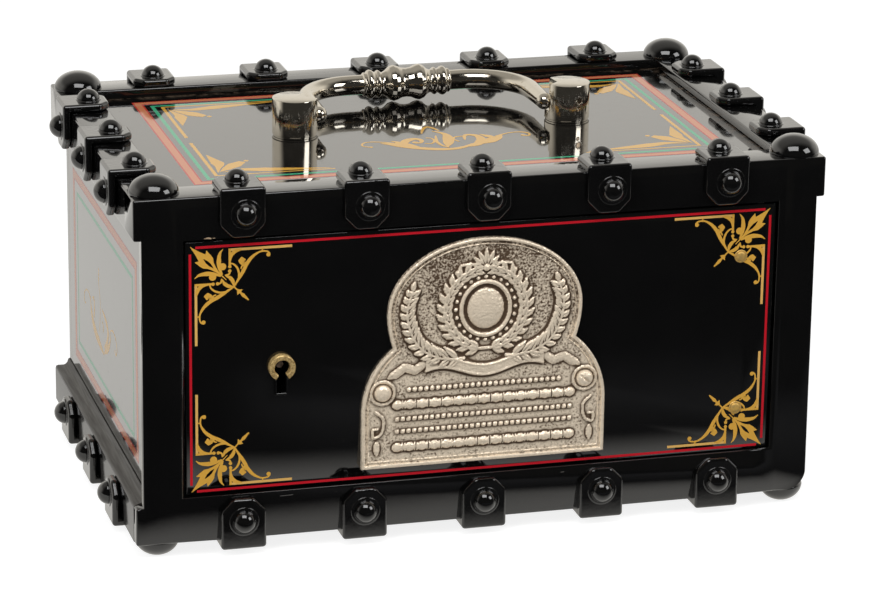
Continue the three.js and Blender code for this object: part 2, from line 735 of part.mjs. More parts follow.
function postBite(centreX, inward) {
  const across = (u) => centreX + inward * u;
  const apexY = HANDLE_Y + BITE_SETBACK;
  const mouthX = POST_RADIUS + OVERCUT;
  const rearY = HANDLE_Y + POST_RADIUS + OVERCUT;
  const frontRun = (mouthX - BITE_INNER) * Math.tan(THREE.MathUtils.degToRad(BITE_FRONT_ANGLE));
  const rearLean = (rearY - apexY) * Math.tan(THREE.MathUtils.degToRad(BITE_REAR_ANGLE));
  const bite = outline([
    [across(BITE_INNER), apexY],
    [across(mouthX), apexY - frontRun],
    [across(mouthX), rearY],
    [across(BITE_INNER + rearLean), rearY],
  ]);
  return prismZ(bite, ROOF_TOP + BITE_FLOOR, ROOF_TOP + POST_HEIGHT + OVERCUT);
}

function handlePost(centreX, inward) {
  const base = ROOF_TOP + SEAT;
  const post = rodZ(POST_RADIUS, centreX, HANDLE_Y, base, ROOF_TOP + POST_HEIGHT);
  const shankEnd = ROOF_UNDER - POST_NUT_HEIGHT - POST_SHANK_SHOW;
  const shank = rodZ(POST_SHANK_RADIUS, centreX, HANDLE_Y, shankEnd, base + EMBED);
  const stubEnd = centreX + inward * (BITE_INNER - BAIL_STUB_DEPTH);
  const mouth = centreX + inward * (POST_RADIUS + OVERCUT);
  const bore = rodX(
    BAIL_STUB_RADIUS + RUNNING,
    HANDLE_Y,
    ROOF_TOP + PIVOT_HEIGHT,
    Math.min(stubEnd, mouth),
    Math.max(stubEnd, mouth),
  );
  return joined(post, shank).subtract(postBite(centreX, inward)).subtract(bore);
}

function postNut(centreX) {
  const top = ROOF_UNDER - SEAT;
  const hexagon = rodZ(POST_NUT_RADIUS, centreX, HANDLE_Y, top - POST_NUT_HEIGHT, top, 6);
  return hexagon.subtract(
    rodZ(POST_SHANK_RADIUS + RUNNING, centreX, HANDLE_Y, top - POST_NUT_HEIGHT - OVERCUT, top + OVERCUT),
  );
}

// Bail: turned grip, straight bar, two quarter bends, two tapering arms and their pivot stubs

function gripLathe() {
  const barEnd = BAIL_HALF_WIDTH - BAIL_BEND_RADIUS + EMBED;
  const half = [
    [GRIP_END_X, BAIL_RADIUS],
    [GRIP_RING_X, GRIP_RING_RADIUS],
    [GRIP_COVE_X, GRIP_COVE_RADIUS],
    [GRIP_BULB_X, GRIP_BULB_RADIUS],
  ];
  const turned = new THREE.SplineCurve([
    ...half.map(([x, radius]) => new THREE.Vector2(radius, -x)),
    new THREE.Vector2(GRIP_WAIST_RADIUS, 0),
    ...half.toReversed().map(([x, radius]) => new THREE.Vector2(radius, x)),
  ]);
  const profile = [
    new THREE.Vector2(0, -barEnd),
    new THREE.Vector2(BAIL_RADIUS, -barEnd),
    ...turned.getPoints(GRIP_STEPS),
    new THREE.Vector2(BAIL_RADIUS, barEnd),
    new THREE.Vector2(0, barEnd),
  ];
  const geometry = new THREE.LatheGeometry(profile, GRIP_SEGMENTS);
  geometry.rotateZ(-QUARTER);
  return toSolid(geometry.translate(0, BAIL_REACH, 0));
}

class QuarterBend extends THREE.Curve {
  constructor(hand) {
    super();
    this.hand = hand;
  }

  getPoint(t, target = new THREE.Vector3()) {
    const angle = QUARTER * t;
    const x = this.hand * (BAIL_HALF_WIDTH - BAIL_BEND_RADIUS + BAIL_BEND_RADIUS * Math.cos(angle));
    const y = BAIL_REACH - BAIL_BEND_RADIUS + BAIL_BEND_RADIUS * Math.sin(angle);
    return target.set(x, y, 0);
  }
}

function bendTube(hand) {
  const section = new THREE.Shape();
  section.absarc(0, 0, BAIL_RADIUS, 0, 2 * Math.PI, false);
  const geometry = new THREE.ExtrudeGeometry(section, {
    steps: BEND_STEPS,
    curveSegments: BAIL_SEGMENTS / 2,
    extrudePath: new QuarterBend(hand),
  });
  return toSolid(geometry);
}

function bailArm(hand) {
  const length = BAIL_REACH - BAIL_BEND_RADIUS + EMBED;
  const x = hand * BAIL_HALF_WIDTH;
  const taper = new THREE.CylinderGeometry(BAIL_RADIUS, BAIL_END_RADIUS, length, BAIL_SEGMENTS);
  const arm = toSolid(taper.translate(x, length / 2, 0));
  const sphere = new THREE.SphereGeometry(BAIL_END_RADIUS, BAIL_SEGMENTS, BAIL_SEGMENTS / 2);
  const ball = toSolid(sphere.rotateZ(QUARTER).translate(x, 0, 0));
  const stubEnd = hand * (POST_HALF_SPACING - BITE_INNER + BAIL_STUB_DEPTH - RUNNING);
  const stub = rodX(BAIL_STUB_RADIUS, 0, 0, Math.min(x, stubEnd), Math.max(x, stubEnd), BAIL_SEGMENTS);
  return joined(arm, ball, stub);
}

function handleBail() {
  return joined(gripLathe(), bendTube(-1), bendTube(1), bailArm(-1), bailArm(1));
}

function addHandle() {
  addPiece('left_handle_post', handlePost(HANDLE_X - POST_HALF_SPACING, 1), nickel);
  addPiece('right_handle_post', handlePost(HANDLE_X + POST_HALF_SPACING, -1), nickel);
  addPiece('left_post_nut', postNut(HANDLE_X - POST_HALF_SPACING), steel);
  addPiece('right_post_nut', postNut(HANDLE_X + POST_HALF_SPACING), steel);
  const bail = addPiece('handle_bail', handleBail(), nickel);
  bail.position.set(HANDLE_X, HANDLE_Y, ROOF_TOP + PIVOT_HEIGHT);
}

// Door panel with its keyhole, pivot sockets, rivet holes and screw holes

function keyway(y0, y1, clearance = 0) {
  const hole = rodY(KEYHOLE_RADIUS + clearance, KEY_X, KEY_Z, y0, y1);
  const halfSlot = KEY_SLOT_WIDTH / 2 + clearance;
  const slot = block(KEY_X - halfSlot, KEY_X + halfSlot, y0, y1, KEY_Z - KEY_SLOT_DROP - clearance, KEY_Z);
  return joined(hole, slot);
}

// The front corner of the hinge edge is cut back, so that it turns inside the gap beside it
function hingeEdgeCut() {
  const reach = HINGE_INSET + DOOR_GAP - RUNNING;
  const clearHalf = Math.sqrt(reach ** 2 - HINGE_INSET ** 2);
  return Math.max(0, DOOR_THICKNESS / 2 - clearHalf);
}

function doorPanel() {
  const cut = hingeEdgeCut();
  const plan = outline([
    [DOOR_LEFT, DOOR_FRONT_Y],
    [DOOR_RIGHT - cut, DOOR_FRONT_Y],
    [DOOR_RIGHT, DOOR_FRONT_Y + cut],
    [DOOR_RIGHT, DOOR_BACK_Y],
    [DOOR_LEFT, DOOR_BACK_Y],
  ]);
  let door = prismZ(plan, DOOR_BOTTOM, DOOR_TOP);
  door = door.subtract(keyway(DOOR_FRONT_Y - OVERCUT, DOOR_BACK_Y + OVERCUT));
  const socket = PIVOT_RADIUS + RUNNING;
  const upperEnd = DOOR_TOP - PIVOT_REACH;
  const lowerEnd = DOOR_BOTTOM + PIVOT_REACH;
  door = door.subtract(rodZ(socket, HINGE_X, HINGE_Y, upperEnd, DOOR_TOP + OVERCUT, PIN_SEGMENTS));
  door = door.subtract(rodZ(socket, HINGE_X, HINGE_Y, DOOR_BOTTOM - OVERCUT, lowerEnd, PIN_SEGMENTS));
  for (const z of RIVET_HEIGHTS) {
    door = door.subtract(rivetHole(z, DOOR_FRONT_Y - OVERCUT, DOOR_BACK_Y + OVERCUT));
  }
  for (const hand of [-1, 1]) {
    const x = hand * PLATE_SCREW_X;
    const shankHole = PLATE_SCREW_SHANK + RUNNING;
    const depth = DOOR_FRONT_Y + PLATE_SCREW_DEPTH;
    door = door.subtract(rodY(shankHole, x, PLATE_SCREW_Z, DOOR_FRONT_Y - OVERCUT, depth, PIN_SEGMENTS));
  }
  for (const [x, z] of lockScrewPlaces()) {
    door = door.subtract(lockScrewHole(x, z, DOOR_BACK_Y - LOCK_SCREW_DEPTH, DOOR_BACK_Y + OVERCUT));
  }
  return door;
}

function rivetHole(z, y0, y1) {
  return rodY(RIVET_SHANK_RADIUS + RUNNING, RIVET_X, z, y0, y1, PIN_SEGMENTS);
}

function hingeBar() {
  const left = HINGE_BAR_RIGHT - HINGE_BAR_WIDTH;
  const front = DOOR_BACK_Y + SEAT;
  const bottom = DOOR_BOTTOM + HINGE_BAR_END_GAP;
  const top = DOOR_TOP - HINGE_BAR_END_GAP;
  let bar = block(left, HINGE_BAR_RIGHT, front, front + HINGE_BAR_THICKNESS, bottom, top);
  for (const z of RIVET_HEIGHTS) {
    bar = bar.subtract(rivetHole(z, front - OVERCUT, front + HINGE_BAR_THICKNESS + OVERCUT));
  }
  return bar;
}

function doorRivet(z) {
  const headY = DOOR_FRONT_Y - SEAT;
  const tailY = DOOR_BACK_Y + SEAT + HINGE_BAR_THICKNESS + SEAT;
  const head = domeFront(RIVET_X, headY, z, RIVET_HEAD_RADIUS, RIVET_HEAD_HEIGHT, 0);
  const shank = rodY(RIVET_SHANK_RADIUS, RIVET_X, z, headY - EMBED, tailY + EMBED, PIN_SEGMENTS);
  const tail = rodY(RIVET_HEAD_RADIUS, RIVET_X, z, tailY, tailY + RIVET_HEAD_HEIGHT, PIN_SEGMENTS);
  return joined(head, shank, tail);
}

function pivotPin(fromZ, toZ) {
  return rodZ(PIVOT_RADIUS, HINGE_X, HINGE_Y, fromZ, toZ, PIN_SEGMENTS);
}

function addDoor() {
  addPiece('door_panel', doorPanel(), enamel);
  addPiece('hinge_bar', hingeBar(), steel);
  const upperPin = pivotPin(DOOR_TOP - PIVOT_REACH + RUNNING, OPENING_TOP + PIVOT_REACH - SEAT);
  const lowerPin = pivotPin(OPENING_SILL - PIVOT_REACH + SEAT, DOOR_BOTTOM + PIVOT_REACH - RUNNING);
  addPiece('upper_pivot_pin', upperPin, steel);
  addPiece('lower_pivot_pin', lowerPin, steel);
  addPiece('upper_door_rivet', doorRivet(RIVET_HEIGHTS[0]), gilt);
  addPiece('lower_door_rivet', doorRivet(RIVET_HEIGHTS[1]), gilt);
}

// Nameplate: a squared foot with rounded shoulders under a flattened arch

function plateOutline(inset) {
  const halfWidth = PLATE_HALF_WIDTH - inset;
  const shoulderX = PLATE_HALF_WIDTH - PLATE_SHOULDER_RADIUS;
  const shoulderRadius = PLATE_SHOULDER_RADIUS - inset;
  const waistRise = Math.sqrt(PLATE_SHOULDER_RADIUS ** 2 - (PLATE_WAIST_HALF_WIDTH - shoulderX) ** 2);
  const waistAngle = Math.atan2(waistRise, PLATE_WAIST_HALF_WIDTH - shoulderX);
  const waistZ = PLATE_SHOULDER_START + waistRise;
  const springGap = PLATE_ARCH_SPRING - waistZ;
  const overhang = PLATE_ARCH_HALF_WIDTH - PLATE_WAIST_HALF_WIDTH;
  const cheekRadius = (springGap ** 2 + overhang ** 2) / (2 * overhang);
  const cheekAngle = Math.asin(springGap / cheekRadius);
  const points = [[halfWidth, PLATE_BOTTOM + inset]];
  for (let i = 0; i <= SHOULDER_STEPS; i += 1) {
    const angle = (waistAngle * i) / SHOULDER_STEPS;
    points.push([
      shoulderX + shoulderRadius * Math.cos(angle),
      PLATE_SHOULDER_START + shoulderRadius * Math.sin(angle),
    ]);
  }
  for (let i = 0; i < CHEEK_STEPS; i += 1) {
    const angle = cheekAngle * (1 - i / CHEEK_STEPS);
    const radius = cheekRadius - inset;
    points.push([
      PLATE_ARCH_HALF_WIDTH - cheekRadius + radius * Math.cos(angle),
      PLATE_ARCH_SPRING - radius * Math.sin(angle),
    ]);
  }
  for (let i = 0; i < ARCH_STEPS; i += 1) {
    const angle = (QUARTER * i) / ARCH_STEPS;
    points.push([
      (PLATE_ARCH_HALF_WIDTH - inset) * Math.cos(angle),
      PLATE_ARCH_SPRING + (PLATE_TOP - PLATE_ARCH_SPRING - inset) * Math.sin(angle),
    ]);
  }
  const crown = [[0, PLATE_TOP - inset]];
  const left = points.map(([x, z]) => [-x, z]).reverse();
  return outline([...points, ...crown, ...left]);
}

function nameplate() {
  const back = DOOR_FRONT_Y - SEAT;
  const ground = back - PLATE_THICKNESS;
  let plate = prismY(plateOutline(0), ground - PLATE_RIM_HEIGHT, back);
  const field = prismY(plateOutline(PLATE_RIM_WIDTH), ground - PLATE_RIM_HEIGHT - OVERCUT, ground);
  plate = plate.subtract(field);
  for (const hand of [-1, 1]) {
    const x = hand * PLATE_SCREW_X;
    const shankHole = PLATE_SCREW_SHANK + RUNNING;
    plate = plate.subtract(rodY(shankHole, x, PLATE_SCREW_Z, ground - OVERCUT, back + OVERCUT, PIN_SEGMENTS));
  }
  return plate;
}

function plateScrew(x) {
  const seatY = DOOR_FRONT_Y - SEAT - PLATE_THICKNESS - SEAT;
  const head = domeFront(x, seatY, PLATE_SCREW_Z, PLATE_SCREW_RADIUS, PLATE_SCREW_HEAD, 0, 16, 4);
  const halfSlot = PLATE_SLOT_WIDTH / 2;
  const slot = block(
    x - PLATE_SCREW_RADIUS,
    x + PLATE_SCREW_RADIUS,
    seatY - PLATE_SCREW_HEAD - OVERCUT,
    seatY - PLATE_SCREW_HEAD + PLATE_SLOT_DEPTH,
    PLATE_SCREW_Z - halfSlot,
    PLATE_SCREW_Z + halfSlot,
  );
  const tip = DOOR_FRONT_Y + PLATE_SCREW_DEPTH - RUNNING;
  const shank = rodY(PLATE_SCREW_SHANK, x, PLATE_SCREW_Z, seatY - EMBED, tip, PIN_SEGMENTS);
  return joined(head.subtract(slot), shank);
}

function addNameplate() {
  addPiece('nameplate', nameplate(), nickel);
  addPiece('left_nameplate_screw', plateScrew(-PLATE_SCREW_X), nickel);
  addPiece('right_nameplate_screw', plateScrew(PLATE_SCREW_X), nickel);
}

// Keyhole ring: a horseshoe that stays open over the key slot

function escutcheonRing() {
  const fromAngle = -QUARTER + THREE.MathUtils.degToRad(RING_GAP_HALF_ANGLE);
  const toAngle = fromAngle + 2 * Math.PI - 2 * THREE.MathUtils.degToRad(RING_GAP_HALF_ANGLE);
  const shape = new THREE.Shape();
  shape.absarc(KEY_X, KEY_Z, RING_RADIUS, fromAngle, toAngle, false);
  shape.absarc(KEY_X, KEY_Z, KEYHOLE_RADIUS, toAngle, fromAngle, true);
  const back = DOOR_FRONT_Y - SEAT;
  return prismY(shape, back - RING_THICKNESS, back, 20);
}

// Lock: an open tray screwed to the door through its cap, with a bolt and three levers

function lockScrewPlaces() {
  const left = KEY_X - LOCK_LEFT + LOCK_SCREW_INSET;
  const right = KEY_X + LOCK_RIGHT - LOCK_SCREW_INSET;
  const bottom = KEY_Z - LOCK_BELOW + LOCK_SCREW_INSET;
  const top = KEY_Z + LOCK_ABOVE - LOCK_SCREW_INSET;
  return [[left, bottom], [right, bottom], [right, top], [left, top]];
}

function lockScrewHole(x, z, y0, y1) {
  return rodY(LOCK_SCREW_RADIUS + RUNNING, x, z, y0, y1, PIN_SEGMENTS);
}

function lockScrew(x, z) {
  const seatY = LOCK_CAP_Y + LOCK_PLATE;
  const headY = seatY + LOCK_SCREW_HEAD_HEIGHT;
  const tipY = DOOR_BACK_Y - LOCK_SCREW_DEPTH + RUNNING;
  const head = rodY(LOCK_SCREW_HEAD_RADIUS, x, z, seatY - EMBED, headY, PIN_SEGMENTS);
  return joined(head, rodY(LOCK_SCREW_RADIUS, x, z, tipY, seatY, PIN_SEGMENTS));
}

function lockCase() {
  const left = KEY_X - LOCK_LEFT;
  const right = KEY_X + LOCK_RIGHT;
  const bottom = KEY_Z - LOCK_BELOW;
  const top = KEY_Z + LOCK_ABOVE;
  let tray = block(left, right, LOCK_FRONT_Y, LOCK_CAP_Y - SEAT, bottom, top);
  const floorY = LOCK_FRONT_Y + LOCK_PLATE;
  const wall = LOCK_WALL;
  const boss = LOCK_BOSS;
  tray = tray.subtract(block(left + wall, right - wall, floorY, LOCK_CAP_Y, bottom + boss, top - boss));
  tray = tray.subtract(block(left + boss, right - boss, floorY, LOCK_CAP_Y, bottom + wall, top - wall));
  const boltHole = block(
    left - OVERCUT,
    left + LOCK_WALL + OVERCUT,
    BOLT_FRONT_Y - SEAT,
    BOLT_BACK_Y + SEAT,
    BOLT_CENTRE_Z - BOLT_HEIGHT / 2 - SEAT,
    BOLT_CENTRE_Z + BOLT_HEIGHT / 2 + SEAT,
  );
  tray = tray.subtract(boltHole);
  for (const [x, z] of lockScrewPlaces()) {
    tray = tray.subtract(lockScrewHole(x, z, LOCK_FRONT_Y - OVERCUT, LOCK_CAP_Y));
  }
  return tray.subtract(keyway(LOCK_FRONT_Y - OVERCUT, floorY + OVERCUT));
}

// The cap and the four screws that hold it, and the tray under it, to the door
function lockCap() {
  const back = LOCK_CAP_Y + LOCK_PLATE;
  const left = KEY_X - LOCK_LEFT;
  const right = KEY_X + LOCK_RIGHT;
  const cap = block(left, right, LOCK_CAP_Y, back, KEY_Z - LOCK_BELOW, KEY_Z + LOCK_ABOVE);
  return joined(cap, ...lockScrewPlaces().map(([x, z]) => lockScrew(x, z)));
}

function lockBolt() {
  const bottom = BOLT_CENTRE_Z - BOLT_HEIGHT / 2;
  const top = BOLT_CENTRE_Z + BOLT_HEIGHT / 2;
  const bar = block(BOLT_TIP_X, BOLT_TIP_X + BOLT_LENGTH, BOLT_FRONT_Y, BOLT_BACK_Y, bottom, top);
  const talonFront = BOLT_FRONT_Y - OVERCUT;
  const talon = rodY(TALON_RADIUS, KEY_X, bottom, talonFront, BOLT_BACK_Y + OVERCUT, PIN_SEGMENTS);
  const halfStump = BOLT_STUMP / 2;
  const stumpBack = BOLT_BACK_Y + LEVER_COUNT * LEVER_PITCH;
  const stump = block(
    STUMP_X - halfStump,
    STUMP_X + halfStump,
    BOLT_BACK_Y - EMBED,
    stumpBack,
    STUMP_Z - halfStump,
    STUMP_Z + halfStump,
  );
  return bar.subtract(talon).add(stump);
}

// One lever at gate height. Its window has a gate that the bolt's stump slides along, and a pocket at
// each end that drops over the stump.
function lever(index) {
  const front = BOLT_BACK_Y + TURNED_SEAT + index * LEVER_PITCH;
  const back = front + LEVER_THICKNESS;
  const tipX = LEVER_PIVOT_X - LEVER_REACH;
  const topZ = LEVER_PIVOT_Z + LEVER_EYE_RADIUS;
  const bellyZ = BOLT_CENTRE_Z - LEVER_BELLY_DROP;
  const body = outline([
    [LEVER_PIVOT_X, topZ],
    [tipX, topZ],
    [tipX, bellyZ],
    [KEY_X - KEYHOLE_RADIUS, bellyZ],
    [KEY_X + KEYHOLE_RADIUS, BOLT_CENTRE_Z],
    [LEVER_PIVOT_X, LEVER_PIVOT_Z - LEVER_EYE_RADIUS],
  ]);
  const eye = rodY(LEVER_EYE_RADIUS, LEVER_PIVOT_X, LEVER_PIVOT_Z, front, back);
  const cutFront = front - OVERCUT;
  const cutBack = back + OVERCUT;
  const pivotHole = LEVER_PIVOT_RADIUS + RUNNING;
  const hole = rodY(pivotHole, LEVER_PIVOT_X, LEVER_PIVOT_Z, cutFront, cutBack, PIN_SEGMENTS);
  const halfGate = BOLT_STUMP / 2 + RUNNING;
  const gate = block(
    STUMP_X - BOLT_TRAVEL - 2 * halfGate,
    STUMP_X + halfGate,
    cutFront,
    cutBack,
    STUMP_Z - halfGate,
    STUMP_Z + halfGate,
  );
  const halfPocket = halfGate + RUNNING;
  const pocketTop = STUMP_Z + halfGate + LEVER_POCKET_RISE;
  const [shut, open] = [STUMP_X - BOLT_TRAVEL, STUMP_X].map((x) => (
    block(x - halfPocket, x + halfPocket, cutFront, cutBack, STUMP_Z - halfGate, pocketTop)
  ));
  return prismY(body, front, back).add(eye).subtract(hole).subtract(gate).subtract(shut).subtract(open);
}

function addLock() {
  addPiece('lock_case', lockCase(), steel);
  addPiece('lock_cap', lockCap(), steel);
  addPiece('lock_bolt', lockBolt(), brass);
  for (let i = 0; i < LEVER_COUNT; i += 1) {
    addPiece(`lock_lever_${i + 1}`, lever(i), brass);
  }
  const pinFront = LOCK_FRONT_Y + LOCK_PLATE + SEAT;
  const pinBack = LOCK_CAP_Y - SEAT;
  const pivot = rodY(LEVER_PIVOT_RADIUS, LEVER_PIVOT_X, LEVER_PIVOT_Z, pinFront, pinBack, PIN_SEGMENTS);
  addPiece('lever_pivot', pivot, steel);
  const drillPinFront = DOOR_FRONT_Y + DRILL_PIN_RECESS;
  const drillPin = rodY(DRILL_PIN_RADIUS, KEY_X, KEY_Z, drillPinFront, pinBack, PIN_SEGMENTS);
  addPiece('drill_pin', drillPin, steel);
  addPiece('escutcheon_ring', escutcheonRing(), brass);
}

addPiece('front_frame', frontFrame(), enamel);
addShell();
addTopBands();
addPlinth();
addTopStraps();
addStudsAndFeet();
addHandle();
addDoor();
addNameplate();
addLock();

export default strongbox;
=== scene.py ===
from math import asin, atan2, cos, pi, radians, sin, sqrt

import bmesh
import bpy
import numpy as np
from mathutils import Matrix, Vector


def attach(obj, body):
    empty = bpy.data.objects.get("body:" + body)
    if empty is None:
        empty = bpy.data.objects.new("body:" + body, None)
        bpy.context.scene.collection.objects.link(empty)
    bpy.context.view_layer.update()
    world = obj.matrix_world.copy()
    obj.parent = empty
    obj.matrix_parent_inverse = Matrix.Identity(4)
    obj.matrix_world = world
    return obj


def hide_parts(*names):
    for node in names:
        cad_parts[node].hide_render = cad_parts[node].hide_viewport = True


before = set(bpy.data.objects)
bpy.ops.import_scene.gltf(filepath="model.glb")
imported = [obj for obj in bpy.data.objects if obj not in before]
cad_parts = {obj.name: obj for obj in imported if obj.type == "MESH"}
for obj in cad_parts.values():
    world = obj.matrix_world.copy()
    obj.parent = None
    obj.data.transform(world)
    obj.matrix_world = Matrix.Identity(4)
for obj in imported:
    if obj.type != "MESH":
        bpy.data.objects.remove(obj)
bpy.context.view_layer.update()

# An antique cash strongbox: enamelled iron panels in cast edge bands, riveted corner straps, ball
# studs and feet, a hinged door with a nickel nameplate, and a nickel drop handle on the roof.
# Lengths are written in millimetres, and heights are taken from the underside of the case.


# Camera. The photograph was taken from about two metres away with a long lens, to the left of
# the front and a little above the box.
CAMERA_TARGET = Vector((0.00943, 0.0, 0.087534))
CAMERA_DISTANCE = 2.020236
CAMERA_AZIMUTH = radians(-15.733)
CAMERA_ELEVATION = radians(17.894)
CAMERA_ROLL = radians(0.797)
CAMERA_LENS = 156.0
SENSOR_WIDTH = 36.0


def place_camera():
    data = bpy.data.cameras.new("camera")
    data.lens = CAMERA_LENS
    data.sensor_fit = "HORIZONTAL"
    data.sensor_width = SENSOR_WIDTH
    camera = bpy.data.objects.new("camera", data)
    bpy.context.scene.collection.objects.link(camera)
    level = cos(CAMERA_ELEVATION)
    back = Vector((sin(CAMERA_AZIMUTH) * level, -cos(CAMERA_AZIMUTH) * level, sin(CAMERA_ELEVATION)))
    flat_right = (-back).cross(Vector((0, 0, 1))).normalized()
    flat_up = flat_right.cross(-back)
    right = flat_right * cos(CAMERA_ROLL) + flat_up * sin(CAMERA_ROLL)
    up = flat_up * cos(CAMERA_ROLL) - flat_right * sin(CAMERA_ROLL)
    turn = Matrix((right, up, back)).transposed().to_4x4()
    camera.matrix_world = Matrix.Translation(CAMERA_TARGET + back * CAMERA_DISTANCE) @ turn
    bpy.context.scene.camera = camera


place_camera()
bpy.context.scene.view_settings.view_transform = "Standard"


# Floor, surroundings and lamps. The box stands on a pale floor in a pale studio, with soft lamps
# in front and overhead. A dark card laid in front of it shows only in reflections, as painted shade,
# with a glowing sheen across its right part that paints a pale reflection low on the door.
FLOOR_HALF_SIZE = 9.0
FLOOR_COLOUR = (0.34, 0.34, 0.335, 1)
FLOOR_GLOW = 0.84
FLOOR_MIRRORED = 0.44
WHITE = (1, 1, 1, 1)
STUDIO_WARMTH = (1.0, 0.965, 0.89, 1)
CARD_COLOUR = (0.024, 0.024, 0.024, 1)
CARD_SHEEN = (0.085, 0.085, 0.088, 1)
CARD_NEAR_EDGE = -0.12
CARD_FAR_EDGE = -0.16
CARD_SHEEN_PLACE = -0.25
CARD_SHEEN_SPREAD = 0.14
CARD_SHEEN_FROM_X = (-0.12, -0.03)
SKY_BEHIND = 0.86
SKY_ABOVE = 0.45
SKY_IN_FRONT = 0.035
SKY_FILL = 0.42
SKY_TURNS_PALE = (-0.35, 0.25)
SKY_TURNS_DIM = (0.38, 0.68)
MIX_SOCKETS = (0, 6, 7)
MIX_RESULT = 2


def feed(tree, socket, value):
    """Links a socket to another one, or gives it a plain value"""
    if isinstance(value, bpy.types.NodeSocket):
        tree.links.new(value, socket)
    elif value is not None:
        socket.default_value = value


def put(tree, kind, **inputs):
    """Adds a node and feeds its inputs, whose names have spaces for underscores"""
    made = tree.nodes.new(kind)
    for name, value in inputs.items():
        feed(tree, made.inputs[name.replace("_", " ")], value)
    return made


def calculate(tree, operation, first, second=None):
    made = tree.nodes.new("ShaderNodeMath")
    made.operation = operation
    feed(tree, made.inputs[0], first)
    feed(tree, made.inputs[1], second)
    return made.outputs[0]


def fade(tree, value, start, end, low=0.0, high=1.0):
    """A smooth step from low at start to high at end"""
    made = put(tree, "ShaderNodeMapRange", From_Min=start, From_Max=end, To_Min=low, To_Max=high)
    made.interpolation_type = "SMOOTHSTEP"
    feed(tree, made.inputs["Value"], value)
    return made.outputs["Result"]


def blend(tree, share, first, second):
    """A colour between two others; the mix node keeps its colour sockets behind those of other kinds"""
    made = tree.nodes.new("ShaderNodeMix")
    made.data_type = "RGBA"
    for socket, value in zip(MIX_SOCKETS, (share, first, second)):
        feed(tree, made.inputs[socket], value)
    return made.outputs[MIX_RESULT]


def axes(tree, kind="Object"):
    """The three coordinates of a point"""
    place = tree.nodes.new("ShaderNodeTexCoord").outputs[kind]
    return put(tree, "ShaderNodeSeparateXYZ", Vector=place).outputs


def ray_kinds(tree):
    """The kinds of ray, and a value that is one for a ray that comes from gloss, metal or glass"""
    rays = tree.nodes.new("ShaderNodeLightPath").outputs
    return rays, calculate(tree, "MAXIMUM", rays["Is Glossy Ray"], rays["Is Transmission Ray"])


def floor_glow(tree, rays, in_gloss):
    """Pale cloth that glows for the camera and in gloss, and adds no light to other surfaces"""
    seen = calculate(tree, "MULTIPLY", rays["Is Camera Ray"], FLOOR_GLOW)
    mirrored = calculate(tree, "MULTIPLY", in_gloss, FLOOR_MIRRORED)
    tone = blend(tree, in_gloss, WHITE, STUDIO_WARMTH)
    glow = put(tree, "ShaderNodeEmission", Color=tone, Strength=calculate(tree, "ADD", seen, mirrored))
    both = tree.nodes.new("ShaderNodeAddShader")
    feed(tree, both.inputs[0], put(tree, "ShaderNodeBsdfDiffuse", Color=FLOOR_COLOUR).outputs[0])
    feed(tree, both.inputs[1], glow.outputs[0])
    return both.outputs[0]


def card_glow(tree, place):
    """The dark card, painted shade seen only in reflections, with a glowing sheen across its right part that
    paints a pale reflection on the door
    """
    away = calculate(tree, "ABSOLUTE", calculate(tree, "SUBTRACT", place["Y"], CARD_SHEEN_PLACE))
    strip = fade(tree, away, 0.0, CARD_SHEEN_SPREAD, 1, 0)
    sheen = calculate(tree, "MULTIPLY", strip, fade(tree, place["X"], *CARD_SHEEN_FROM_X))
    return put(tree, "ShaderNodeEmission", Color=blend(tree, sheen, CARD_COLOUR, CARD_SHEEN)).outputs[0]


def floor_material():
    material = bpy.data.materials.new("pale_floor")
    material.use_nodes = True
    tree = material.node_tree
    tree.nodes.clear()
    rays, in_gloss = ray_kinds(tree)
    place = axes(tree)
    # For glossy rays the floor in front of the box turns into the dark card: painted shade in reflections
    card_area = fade(tree, place["Y"], CARD_FAR_EDGE, CARD_NEAR_EDGE, 1, 0)
    whole = tree.nodes.new("ShaderNodeMixShader")
    feed(tree, whole.inputs[0], calculate(tree, "MULTIPLY", card_area, rays["Is Glossy Ray"]))
    feed(tree, whole.inputs[1], floor_glow(tree, rays, in_gloss))
    feed(tree, whole.inputs[2], card_glow(tree, place))
    put(tree, "ShaderNodeOutputMaterial", Surface=whole.outputs[0])
    return material


def lay_floor():
    mesh = bpy.data.meshes.new("floor")
    half = FLOOR_HALF_SIZE
    corners = [(-half, -half, 0), (half, -half, 0), (half, half, 0), (-half, half, 0)]
    mesh.from_pydata(corners, [], [(0, 1, 2, 3)])
    mesh.materials.append(floor_material())
    floor = bpy.data.objects.new("floor", mesh)
    bpy.context.scene.collection.objects.link(floor)


def surround():
    world = bpy.data.worlds.new("studio")
    bpy.context.scene.world = world
    world.use_nodes = True
    tree = world.node_tree
    sky = tree.nodes["Background"]
    way = axes(tree, "Generated")
    level = fade(tree, way["Y"], *SKY_TURNS_PALE, SKY_IN_FRONT, SKY_BEHIND)
    mirrored = calculate(tree, "MULTIPLY", level, fade(tree, way["Z"], *SKY_TURNS_DIM, 1, SKY_ABOVE))
    rays, in_gloss = ray_kinds(tree)
    seen = calculate(tree, "ADD", rays["Is Camera Ray"], calculate(tree, "MULTIPLY", in_gloss, mirrored))
    watched = calculate(tree, "MAXIMUM", rays["Is Camera Ray"], in_gloss)
    lit = calculate(tree, "MULTIPLY", calculate(tree, "SUBTRACT", 1.0, watched), SKY_FILL)
    feed(tree, sky.inputs["Strength"], calculate(tree, "ADD", seen, lit))
    feed(tree, sky.inputs["Color"], blend(tree, in_gloss, WHITE, STUDIO_WARMTH))


